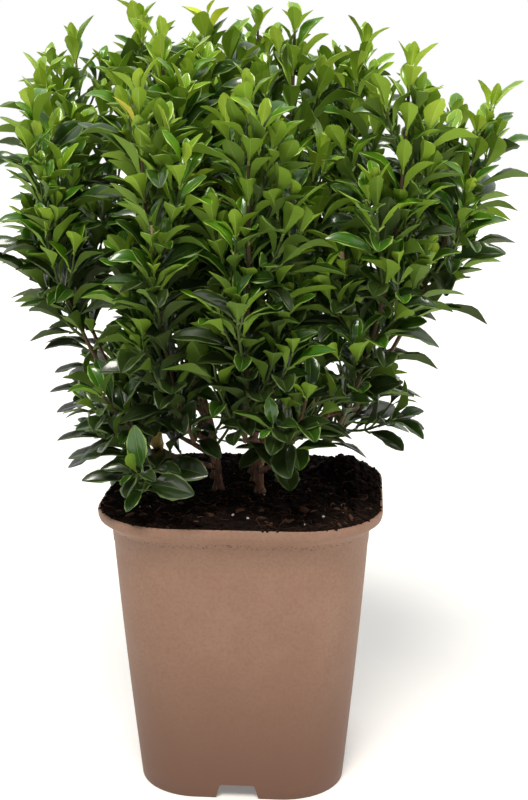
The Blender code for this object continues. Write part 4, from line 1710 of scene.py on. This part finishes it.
    def tint_of(self, leaf: Leaf, draws: random.Random, mood: float) -> str:
        """Chooses a leaf's tint: fresh at the shoots' tips, and dark low down in the crown as painted
        shade.

        Args:
            leaf: The leaf.
            draws: The seeded draws.
            mood: How light its spray is, from -1 to 1.

        Returns:
            The tint's name.
        """
        if leaf.odd:
            return leaf.odd
        # Painted shade: leaves lower in the crown get darker tints, where less light falls. Youth, spray
        # and chance vary the tint as real leaves do.
        light = leaf.height * (self.painted_shade_by_height[0] + self.painted_shade_by_height[1] * leaf.youth)
        light += self.by_youth * leaf.youth
        light += self.by_spray * mood + draws.uniform(-self.by_chance, self.by_chance)
        for name, least in self.tints:
            if light > least:
                return name
        return SHADE.name

    def build_leaves(self, growers: list[Grower], nodes: list[str]) -> None:
        """Deals every leaf a form and a tint, and joins the leaves of each tint.

        Args:
            growers: What has grown.
            nodes: The masses' nodes.
        """
        draws = random.Random(SEED)
        forms = self.forms(draws)
        dealt: dict[str, list[Shape]] = {name: [] for name in TINTS}
        leaves = [leaf for grower in growers for leaf in grower.leaves]
        for tint, spot in self.odd_leaves:
            min(leaves, key=lambda leaf: (leaf.place.translation - Vector(spot)).length).odd = tint
        for grower in growers:
            moods: dict[int, float] = {}
            for leaf in grower.leaves:
                if (grower.mass.node, leaf.spray) == (self.flushed[0], 0) and leaf.youth > self.flushed[1]:
                    leaf.odd = LIME.name
                mood = moods.setdefault(leaf.spray, draws.uniform(-1, 1))
                name = self.tint_of(leaf, draws, mood)
                straighter = self.flatter[0] * max(0.0, 1 - leaf.height) ** 2
                straighter = max(straighter, self.flatter[1] * max(0.0, leaf.youth - self.young_from))
                bent = round(len(forms) * (1 - straighter))
                dealt[name].append(draws.choice(forms[:bent]).placed(leaf.place))
        for name, shapes in dealt.items():
            for first in range(0, len(shapes), self.piece_leaves):
                title = f"leaves_{name}_{1 + first // self.piece_leaves}"
                lot = shapes[first : first + self.piece_leaves]
                joined(title, lot, self.leaf_crease, TINTS[name].materials(), nodes)
        LOG.info("%d leaves", sum(len(shapes) for shapes in dealt.values()))


@dataclass
class Bark:
    """The stems and boughs, with fissured bark, leaf scars and knobbly joints."""

    sides: int = 14
    step: float = 0.0012
    ridge: float = 0.00022
    ridge_count: float = 4.0
    ridge_long: float = 0.012
    lump: float = 0.00030
    lump_long: float = 0.006
    scar: float = 0.00035
    scar_spacing: float = 0.012
    scar_long: float = 0.10
    crease: float = 80.0

    def build(self, clump: Clump) -> None:
        """Makes one piece of the stems and one of the boughs.

        Args:
            clump: The limbs.
        """
        for kind in ("stem", "bough"):
            nodes = [name for name in clump.limbs if name.startswith(kind)]
            shapes = [self.limb(clump.limbs[name], number) for number, name in enumerate(nodes)]
            joined(f"{kind}s_bark", shapes, self.crease, [BARK.build()], nodes)

    def limb(self, run: Run, number: int) -> Shape:
        """One limb's tube with its relief, closed at both ends.

        Args:
            run: The limb.
            number: Its number, which makes its relief its own.

        Returns:
            Its shape.
        """
        count = max(8, round(run.length / self.step))
        places = []
        for ring in range(count + 1):
            distance = run.length * ring / count
            point, way, radius = run.at(distance)
            for angle, out in run.around(way, self.sides):
                grown = radius + self.relief_at(angle, distance, number) if 0 < ring < count else radius
                places.append(list(point + out * grown))
        faces = tube_faces(count + 1, self.sides)
        return Shape(np.array(places), faces, [0] * len(faces))

    def relief_at(self, angle: float, distance: float, number: int) -> float:
        """How far the bark stands out.

        Args:
            angle: The place's turn round the limb.
            distance: Its distance along the limb.
            number: The limb's number.

        Returns:
            The distance that it stands out.
        """
        around = Vector((math.cos(angle), math.sin(angle), 0)) * self.ridge_count
        along = distance / self.ridge_long
        ridges = noise.noise(around + UP * (along + 17.0 * number))
        high = distance / self.lump_long + 31.0 * number
        lumps = noise.noise(Vector((math.cos(angle), math.sin(angle), high)))
        near = (distance / self.scar_spacing) % 1.0 - 0.5
        scar = math.exp(-((near / self.scar_long) ** 2)) * (0.5 + 0.5 * math.cos(2 * angle + number))
        return self.ridge * ridges * 2 + self.lump * lumps + self.scar * scar


@dataclass
class Pot:
    """The square tapering pot with round corners, a collar round its mouth, and a raised floor with
    drain holes behind a notched skirt."""

    height: float = 0.166
    base_width: float = 0.118
    neck_width: float = 0.145
    rim_width: float = 0.160
    corner_share: float = 0.297
    corner_steps: int = 12
    wall: float = 0.0018
    collar_drop: float = 0.0115
    bow: float = 0.0012
    wall_shares: tuple[float, ...] = (0.07, 0.2, 0.35, 0.5, 0.65, 0.8, 0.9)
    seam_share: float = 0.947
    floor: float = 0.012
    floor_thick: float = 0.002
    foot_radius: float = 0.018
    notch: Triple = (0.0195, 0.0245, 0.0085)
    drain_radius: float = 0.0045
    drain_ring: float = 0.034
    drain_count: int = 8
    crease: float = 38.0

    def width_at(self, height: float) -> float:
        """The wall's outer width, a little bowed.

        Args:
            height: The height.

        Returns:
            The width there.
        """
        neck = self.height - self.collar_drop
        share = min(height / neck, 1.0)
        straight = self.base_width + (self.neck_width - self.base_width) * share
        return straight + self.bow * math.sin(math.pi * share)

    def profile(self) -> list[Pair]:
        """The rings of the pot, from inside the skirt, out, up the wall, over the rim and down inside
        to the floor.

        Returns:
            The width and height of each.
        """
        neck = self.height - self.collar_drop
        seam = neck * self.seam_share
        top, wide, thin = self.height, self.rim_width, 2 * self.wall
        foot, inner = self.width_at(0), self.width_at(self.floor - self.floor_thick) - thin
        skirt = [(foot - thin, 0.0004), (foot - thin + 0.0006, 0.0), (foot - 0.0008, 0.0), (foot, 0.0006)]
        wall = [(self.width_at(share * neck), share * neck) for share in self.wall_shares]
        bead = [(self.width_at(seam) - 0.0001, seam), (self.width_at(seam) + 0.0006, seam + 0.0005)]
        collar = [
            (self.width_at(neck) + 0.0002, neck - 0.001),
            (self.neck_width + 0.0030, neck + 0.0012),
            (wide - 0.0050, neck + 0.0046),
            (wide - 0.0016, neck + 0.0060),
            (wide - 0.0004, neck + 0.0078),
        ]
        rim = [
            (wide, top - 0.0014),
            (wide - 0.0005, top - 0.0005),
            (wide - 0.0014, top),
            (wide - thin + 0.0006, top - 0.0001),
            (wide - thin, top - 0.0008),
        ]
        inside = [
            (wide - thin - 0.0008, neck + 0.0068),
            (wide - thin - 0.0040, neck + 0.0050),
            (self.neck_width - thin, neck - 0.0004),
            (inner, self.floor),
        ]
        return [*skirt, *wall, *bead, *collar, *rim, *inside]

    def outline(self, name: str, width: float, height: float) -> Piece:
        """Starts a shape from a flat rounded square, and leaves it selected in edit mode.

        Args:
            name: The shape's name.
            width: The square's width.
            height: Its height over the ground.

        Returns:
            The shape.
        """
        deselect()
        bpy.ops.mesh.primitive_plane_add(size=width, location=(0, 0, height))
        made = bpy.context.object
        made.name = name
        apply_place(made)
        bpy.ops.object.mode_set(mode="EDIT")
        bpy.ops.mesh.select_all(action="SELECT")
        bpy.ops.mesh.bevel(offset=width * self.corner_share, segments=self.corner_steps, affect="VERTICES")
        return made

    def rise(self, rings: Sequence[Pair], width: float, height: float) -> None:
        """Extrudes the selected outline through rings.

        Args:
            rings: The width and height of each ring.
            width: The outline's width.
            height: Its height.
        """
        for ring_width, ring_height in rings:
            bpy.ops.mesh.extrude_region_move()
            bpy.ops.transform.translate(value=(0, 0, ring_height - height))
            share = ring_width / width
            bpy.ops.transform.resize(value=(share, share, 1), center_override=(0, 0, ring_height))
            width, height = ring_width, ring_height

    def build(self) -> None:
        """Makes the pot, cuts its notches and drain holes, and adds its middle foot."""
        under = self.floor - self.floor_thick
        width = self.width_at(under) - 2 * self.wall
        pot = self.outline("pot", width, under)
        self.rise(self.profile(), width, under)
        turn_outward()
        for tool in self.cutters():
            apply_modifier(pot, "BOOLEAN", {"operation": "DIFFERENCE", "object": tool, "solver": "EXACT"})
            remove(tool)
        foot = self.cylinder(self.foot_radius, 0.0, self.floor - self.floor_thick / 2, (0, 0))
        apply_modifier(pot, "BOOLEAN", {"operation": "UNION", "object": foot, "solver": "EXACT"})
        remove(foot)
        take(pot)
        bpy.ops.object.shade_smooth_by_angle(angle=math.radians(self.crease))
        finished(pot, "pot_shell", [POT_PLASTIC.build()], ["pot"])

    @staticmethod
    def cylinder(radius: float, low: float, high: float, at: Pair) -> Piece:
        """A closed upright cylinder.

        Args:
            radius: Its radius, which gives it 20 sides if it is small and 48 otherwise.
            low: Height of its foot.
            high: Height of its top.
            at: Place of its axis.

        Returns:
            The cylinder.
        """
        sides = 20 if radius < 0.01 else 48
        deselect()
        bpy.ops.mesh.primitive_cylinder_add(
            vertices=sides, radius=radius, depth=high - low, location=(*at, (low + high) / 2)
        )
        made = bpy.context.object
        apply_place(made)
        return made

    def cutters(self) -> list[Piece]:
        """Wedges for the skirt's notches, and pins for the drain holes.

        Returns:
            The tools to cut with.
        """
        tools = []
        top, foot, height = self.notch
        for side in range(4):
            deselect()
            bpy.ops.mesh.primitive_cube_add(size=1.0)
            wedge = bpy.context.object
            for vert in wedge.data.vertices:
                upper = vert.co.z > 0
                half = top / 2 if upper else foot / 2 + (foot - top) / 2 * 0.47
                vert.co = (math.copysign(half, vert.co.x), vert.co.y * 0.02, height if upper else -0.004)
            turn = Matrix.Rotation(side * math.pi / 2, 4, "Z")
            wedge.matrix_world = turn @ Matrix.Translation((0, -self.base_width / 2, 0))
            apply_place(wedge)
            apply_modifier(wedge, "BEVEL", {"width": 0.0012, "segments": 3, "limit_method": "ANGLE"})
            tools.append(wedge)
        for hole in range(self.drain_count):
            turn = (hole + 0.5) * 2 * math.pi / self.drain_count
            at = (self.drain_ring * math.cos(turn), self.drain_ring * math.sin(turn))
            tools.append(self.cylinder(self.drain_radius, 0.004, self.floor + 0.004, at))
        return tools


@dataclass
class Compost:
    """The compost that fills the pot: a lumpy top, loose crumbs, fibres, chips and perlite.

    Attributes:
        pot: The pot that it fills.
        middle: The clump's middle, round which the top is level.
        solid_heaps: The solids' own heaps: place, width and height in lumps.
        heaps: Finer heaps on them: place, width and height.
        rounded: Straight part and corner of the square that things lie in, as shares of half of it.
        curl: Place and width of the curled root's loop, its first turn and how far each point turns.
        small: Name, count, finish, least size, most size and flatness of the chips and the perlite.
    """

    pot: Pot
    middle: Pair
    clear: float = 0.0003
    ground: float = 0.1655
    edge: float = 0.1650
    lump: float = 0.0040
    solid_heaps: tuple[tuple[float, ...], ...] = ((0.050, 0.044, 0.014, 1.9), (-0.046, 0.050, 0.010, 1.0))
    heaps: tuple[tuple[float, ...], ...] = (
        (0.060, 0.034, 0.015, 0.0068),
        (-0.062, 0.038, 0.012, 0.0050),
        (0.068, 0.006, 0.009, 0.0030),
    )
    coarse: tuple[Pair, Pair] = ((0.009, 0.0016), (0.004, 0.0011))
    fine: Pair = (0.0017, 0.0006)
    plateau: float = 0.046
    shoulder: float = 0.02
    cells: int = 150
    crease: float = 50.0
    sky: float = 0.3
    rim_room: float = 0.0012
    rounded: Pair = (0.45, 0.55)
    grain_crease: float = 30.0
    crumb_forms: int = 8
    crumb_count: int = 2600
    crumb_size: Pair = (0.0006, 0.0018)
    crumb_rough: float = 0.28
    brim_count: int = 1700
    brim_size: Pair = (0.0004, 0.0011)
    brim_reach: Pair = (0.0032, 0.0006)
    clod_count: int = 90
    clod_size: Pair = (0.0010, 0.0030)
    fibre_sides: int = 4
    fibre_points: int = 6
    fibre_bend: float = 0.5
    fibre_lift: Pair = (0.0002, 0.0016)
    fibre_crease: float = 80.0
    fibre_count: int = 240
    fibre_length: Pair = (0.004, 0.015)
    fibre_radius: Pair = (0.00022, 0.00010)
    root_sides: int = 6
    root_points: int = 25
    root_radius: Pair = (0.00050, 0.00022)
    curl: tuple[float, ...] = (0.0675, -0.0145, 0.0042, 200, 21)
    curl_in: float = 0.45
    small: tuple[tuple[str, int, Finish, float, float, float], ...] = (
        ("wood_chips", 130, CHIP, 0.0012, 0.0034, 0.22),
        ("perlite_grains", 20, PERLITE, 0.0004, 0.0010, 0.85),
    )

    def __post_init__(self) -> None:
        """Seeds the draws and measures the pot's mouth."""
        self.draws = random.Random(SEED + 1)
        self.half = self.pot.rim_width / 2 - self.pot.wall - self.rim_room

    def height(self, x: float, y: float) -> float:
        """The top's height, by the solids' rule with finer lumps on it.

        Args:
            x: Place along X.
            y: Place along Y.

        Returns:
            The height there.
        """
        far = math.hypot(x - self.middle[0], y - self.middle[1])
        share = min(1.0, max(0.0, (far - self.plateau) / self.shoulder))
        ripple = math.sin(x * 310 + 1.3) * math.cos(y * 270 - 0.6) + 0.6 * math.sin(x * 150 - y * 190)
        swell = self.heaped(self.solid_heaps, x, y, 0.25 * ripple)
        smooth = self.ground + share * (self.lump * swell - (self.ground - self.edge) * 0.5)
        spot = Vector((x, y, 0))
        (large, high), (less, low) = self.coarse
        coarse = noise.noise(spot / large) * high + noise.noise(spot / less + Vector((9, 2, 0))) * low
        fine = noise.noise(spot / self.fine[0] + Vector((3, 7, 0))) * self.fine[1]
        return smooth + coarse + fine + self.heaped(self.heaps, x, y, 0.0)

    @staticmethod
    def heaped(heaps: Sequence[tuple[float, ...]], x: float, y: float, height: float) -> float:
        """A height with round heaps on it.

        Args:
            heaps: Place, width and height of each heap.
            x: Place along X.
            y: Place along Y.
            height: The height without them.

        Returns:
            The height there.
        """
        for a, b, wide, tall in heaps:
            height += tall * math.exp(-((x - a) ** 2 + (y - b) ** 2) / wide**2)
        return height

    def build(self) -> None:
        """Makes the body of compost and all that lies on it."""
        soil = self.body()
        places = [vert.co.copy() for vert in soil.data.vertices]
        self.top = BVHTree.FromPolygons(places, [tuple(face.vertices) for face in soil.data.polygons])
        finished(soil, "compost_body", [COMPOST.build()], ["soil"])
        self.scatter_crumbs()
        self.scatter_fibres()
        self.scatter_small()

    def body(self) -> Piece:
        """A slab with a lumpy top, cut to the inside of the pot.

        Returns:
            The slab.
        """
        pot = self.pot
        deselect()
        bpy.ops.mesh.primitive_grid_add(
            x_subdivisions=self.cells, y_subdivisions=self.cells, size=pot.rim_width
        )
        slab = bpy.context.object
        for vert in slab.data.vertices:
            vert.co.z = self.height(vert.co.x, vert.co.y)
        bpy.ops.object.mode_set(mode="EDIT")
        bpy.ops.mesh.select_all(action="SELECT")
        bpy.ops.mesh.extrude_region_move()
        bpy.ops.transform.translate(value=(0, 0, -1.2 * pot.height))
        bpy.ops.transform.resize(value=(1, 1, 0), center_override=(0, 0, -0.02))
        turn_outward()
        floor = pot.floor + self.clear
        inner = 2 * (pot.wall + self.clear)
        neck = pot.height - pot.collar_drop
        width = pot.width_at(floor) - inner
        mould = pot.outline("mould", width, floor)
        rings = [
            (pot.neck_width - inner, neck - 0.001),
            (pot.rim_width - inner - 0.0050, neck + 0.0060),
            (pot.rim_width - inner - 0.0006, neck + 0.0090),
            (pot.rim_width - inner - 0.0006, pot.height + 0.02),
        ]
        pot.rise(rings, width, floor)
        turn_outward()
        apply_modifier(slab, "BOOLEAN", {"operation": "INTERSECT", "object": mould, "solver": "EXACT"})
        remove(mould)
        take(slab)
        bpy.ops.object.shade_smooth_by_angle(angle=math.radians(self.crease))
        return slab

    def fall(self, x: float, y: float) -> tuple[Vector | None, Vector | None]:
        """The place and the normal where something dropped comes to lie, or None outside the pot."""
        place, normal, _, _ = self.top.ray_cast(Vector((x, y, self.sky)), DOWN)
        return place, normal

    def drop(self, half: float) -> tuple[Vector, Vector]:
        """A random place on the compost.

        Args:
            half: Half the width of the rounded square that it lies in.

        Returns:
            The place and the top's normal there.
        """
        while True:
            x, y = self.draws.uniform(-half, half), self.draws.uniform(-half, half)
            straight, corner = half * self.rounded[0], half * self.rounded[1]
            if max(abs(x) - straight, 0) ** 2 + max(abs(y) - straight, 0) ** 2 > corner**2:
                continue
            place, normal = self.fall(x, y)
            if place:
                return place, normal

    def on_brim(self) -> Vector:
        """A random place on the rim's inner edge, or on the compost just inside it.

        Returns:
            The place.
        """
        half = self.pot.rim_width / 2 - self.pot.wall
        straight = half * (1 - 2 * self.pot.corner_share)
        inside, outside = self.brim_reach
        while True:
            x, y = self.draws.uniform(-half, half) * 1.01, self.draws.uniform(-half, half) * 1.01
            past = math.hypot(max(abs(x) - straight, 0), max(abs(y) - straight, 0)) - (half - straight)
            if -inside < past < outside:
                place, _ = self.fall(x, y)
                if past > -outside or not place:
                    return Vector((x, y, self.pot.height - 0.0002))
                return place

    def grain(self, rough: float) -> Shape:
        """A knobbly grain of unit radius with twenty faces.

        Args:
            rough: How far its corners may stand in or out.

        Returns:
            Its shape.
        """
        gold = (1 + math.sqrt(5)) / 2
        corners = []
        for low in (-1, 1):
            for high in (-gold, gold):
                corners += [(0, low, high), (low, high, 0), (high, 0, low)]
        points = np.array(corners, float)
        points /= np.linalg.norm(points, axis=1)[:, None]
        longest_edge = 1.1
        faces = []
        for a, b, c in combinations(range(len(points)), 3):
            sides = [np.linalg.norm(points[i] - points[j]) for i, j in ((a, b), (b, c), (a, c))]
            if max(sides) < longest_edge:
                outward = np.dot(np.cross(points[b] - points[a], points[c] - points[a]), points[a])
                faces.append((a, b, c) if outward > 0 else (a, c, b))
        swell = np.array([self.draws.uniform(1 - rough, 1 + rough) for _ in range(len(points))])
        return Shape(points * swell[:, None], faces, [0] * len(faces))

    def scatter_crumbs(self) -> None:
        """Loose crumbs of compost over the whole top, along the rim, and in clods on the heaps."""
        draws = self.draws
        forms = [self.grain(self.crumb_rough) for _ in range(self.crumb_forms)]
        spots = []
        least, more = self.crumb_size
        for _ in range(self.crumb_count):
            spots.append((self.drop(self.half)[0], least + more * draws.random() ** 3))
        least, more = self.brim_size
        for _ in range(self.brim_count):
            spots.append((self.on_brim(), least + more * draws.random() ** 2))
        for x, y, wide, _ in self.heaps:
            for _ in range(self.clod_count):
                place, _ = self.fall(draws.gauss(x, wide * 0.6), draws.gauss(y, wide * 0.6))
                if place and place.z > self.pot.height - 0.006:
                    spots.append((place, draws.uniform(*self.clod_size)))
        crumbs = []
        for place, size in spots:
            turn = Matrix.Rotation(draws.uniform(0, 6.28), 4, Vector((draws.random(), draws.random(), 1)))
            wide, high = draws.uniform(0.7, 1.2), draws.uniform(0.5, 0.9)
            flat = Matrix.Diagonal((size, size * wide, size * high, 1))
            crumbs.append(draws.choice(forms).placed(Matrix.Translation(place) @ turn @ flat))
        joined("compost_crumbs", crumbs, self.grain_crease, [CRUMB.build()], [])

    def scatter_fibres(self) -> None:
        """Fine dry root fibres that lie on the compost and curl up a little, and one thicker root."""
        draws = self.draws
        fibres = []
        for _ in range(self.fibre_count):
            start, _ = self.drop(self.half * 0.97)
            heading = draws.uniform(0, 2 * math.pi)
            length = draws.uniform(*self.fibre_length)
            points = []
            for step in range(self.fibre_points):
                share = step / (self.fibre_points - 1)
                heading += draws.uniform(-self.fibre_bend, self.fibre_bend)
                level = Vector((math.cos(heading), math.sin(heading), 0)) * (length * share)
                lift = math.sin(share * math.pi) * draws.uniform(*self.fibre_lift)
                points.append(start + level + UP * (lift + 0.0002))
            if max(abs(points[-1].x), abs(points[-1].y)) < self.half:
                fibres.append(Run.tapering(points, *self.fibre_radius).tube(self.fibre_sides))
        fibres.append(self.curled_root())
        joined("root_fibres", fibres, self.fibre_crease, [FIBRE.build()], [])

    def curled_root(self) -> Shape:
        """A thicker dry root that lies in a loop near the right side.

        Returns:
            Its shape.
        """
        x, y, wide, first, turn = self.curl
        points = []
        for step in range(self.root_points):
            angle = math.radians(first + turn * step)
            reach = wide * (1 - self.curl_in * step / (self.root_points - 1))
            place, _ = self.fall(x + reach * math.cos(angle), y + 0.8 * reach * math.sin(angle))
            points.append(place + UP * (0.0005 + 0.0006 * math.sin(step * 0.5) ** 2))
        return Run.tapering(points, *self.root_radius).tube(self.root_sides)

    def scatter_small(self) -> None:
        """Flat chips of wood, and white grains of perlite."""
        draws = self.draws
        for name, count, finish, low, high, flatness in self.small:
            form = self.grain(0.2)
            grains = []
            for _ in range(count):
                place, normal = self.drop(self.half)
                size = draws.uniform(low, high)
                lie = normal.to_track_quat("Z", "X").to_matrix().to_4x4()
                turn = Matrix.Rotation(draws.uniform(0, 6.28), 4, "Z")
                flat = Matrix.Diagonal((size, size * draws.uniform(0.35, 0.9), size * flatness, 1))
                lifted = Matrix.Translation(place + UP * (size * flatness * 0.6))
                grains.append(form.placed(lifted @ lie @ turn @ flat))
            joined(name, grains, self.grain_crease, [finish.build()], [])


@dataclass
class Studio:
    """A pale floor, soft light and the photograph's camera."""

    floor_width: float = 12.0
    target: Triple = (0.011, 0.0, 0.2193)
    distance: float = 0.80
    azimuth: float = 4.2
    elevation: float = 12.62
    lens: float = 62.6
    backdrop: float = 1.0
    lamp_colour: Triple = (1.0, 0.965, 0.90)
    floor_glow: float = 0.18
    front_glow: float = 0.14
    back_glow: float = 0.80
    glow_reach: Pair = (-0.8, 0.5)
    lamps: tuple[tuple[str, Triple, float, float], ...] = (
        ("key_light", (-0.1, -1.2, 2.2), 24.0, 2.8),
        ("side_light", (2.0, -0.6, 1.0), 50.0, 0.5),
    )

    def build(self) -> None:
        """Makes the floor, the lights, the sky and the camera."""
        deselect()
        bpy.ops.mesh.primitive_plane_add(size=self.floor_width)
        floor = bpy.context.object
        floor.name = "floor"
        paper = Finish("floor_paper_pale", "#F2F1EE", 0.9).build()
        shader = paper.node_tree.nodes[SHINE_SHADER]
        shader.inputs["Emission Color"].default_value = WHITE
        shader.inputs["Emission Strength"].default_value = self.floor_glow
        floor.data.materials.append(paper)
        floor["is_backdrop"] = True
        for name, place, spread_deg, power in self.lamps:
            self.lamp(name, place, spread_deg, power)
        self.sky()
        bpy.context.scene.view_settings.view_transform = "Standard"
        self.camera()

    def sky(self) -> None:
        """A white backdrop that lights the plant from behind and the sides, less than it shows."""
        world = bpy.data.worlds.new("studio_backdrop")
        bpy.context.scene.world = world
        world.use_nodes = True
        tree = world.node_tree
        backdrop = tree.nodes["Background"]
        backdrop.inputs["Color"].default_value = WHITE
        way = add_node(tree, NodeKind.PLACE, {}, {})
        split = add_node(tree, NodeKind.SPLIT, {}, {0: way.outputs["Generated"]})
        front, back = self.glow_reach
        reach = {"From Min": front, "From Max": back, "To Min": self.front_glow, "To Max": self.back_glow}
        glow = add_node(tree, NodeKind.RANGE, reach, {"Value": split.outputs["Y"]})
        ray = add_node(tree, NodeKind.RAY, {}, {})
        links = {"Value": ray.outputs["Is Camera Ray"], "To Min": glow}
        strength = add_node(tree, NodeKind.RANGE, {"To Max": self.backdrop}, links)
        tree.links.new(strength.outputs[0], backdrop.inputs["Strength"])

    def lamp(self, name: str, place: Triple, spread_deg: float, power: float) -> None:
        """A far, wide and soft light that shines towards the plant.

        Args:
            name: Its name.
            place: The place that it shines from.
            spread_deg: How wide it looks.
            power: How strong it is.
        """
        bpy.ops.object.light_add(type="SUN", location=place)
        made = bpy.context.object
        made.name = name
        made.data.angle = math.radians(spread_deg)
        made.data.energy = power
        made.data.color = self.lamp_colour
        made.rotation_euler = (Vector(self.target) - Vector(place)).to_track_quat("-Z", "Y").to_euler()

    def camera(self) -> None:
        """The camera at the photograph's viewing angle."""
        turn, rise = math.radians(self.azimuth), math.radians(self.elevation)
        back = Vector((math.sin(turn) * math.cos(rise), -math.cos(turn) * math.cos(rise), math.sin(rise)))
        bpy.ops.object.camera_add(location=Vector(self.target) + back * self.distance)
        made = bpy.context.object
        made.name = "photo_camera"
        made.data.lens = self.lens
        made.rotation_euler = (-back).to_track_quat("-Z", "Y").to_euler()
        bpy.context.scene.camera = made


def main() -> None:
    """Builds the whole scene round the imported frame."""
    logging.basicConfig(level=logging.INFO, format="%(message)s")
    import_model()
    low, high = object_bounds()
    deselect()
    clump = Clump()
    pot = Pot()
    pot.build()
    Compost(pot, clump.middle).build()
    Bark().build(clump)
    Foliage().build(clump, low, high)
    Studio().build()


if __name__ == "__main__":
    main()
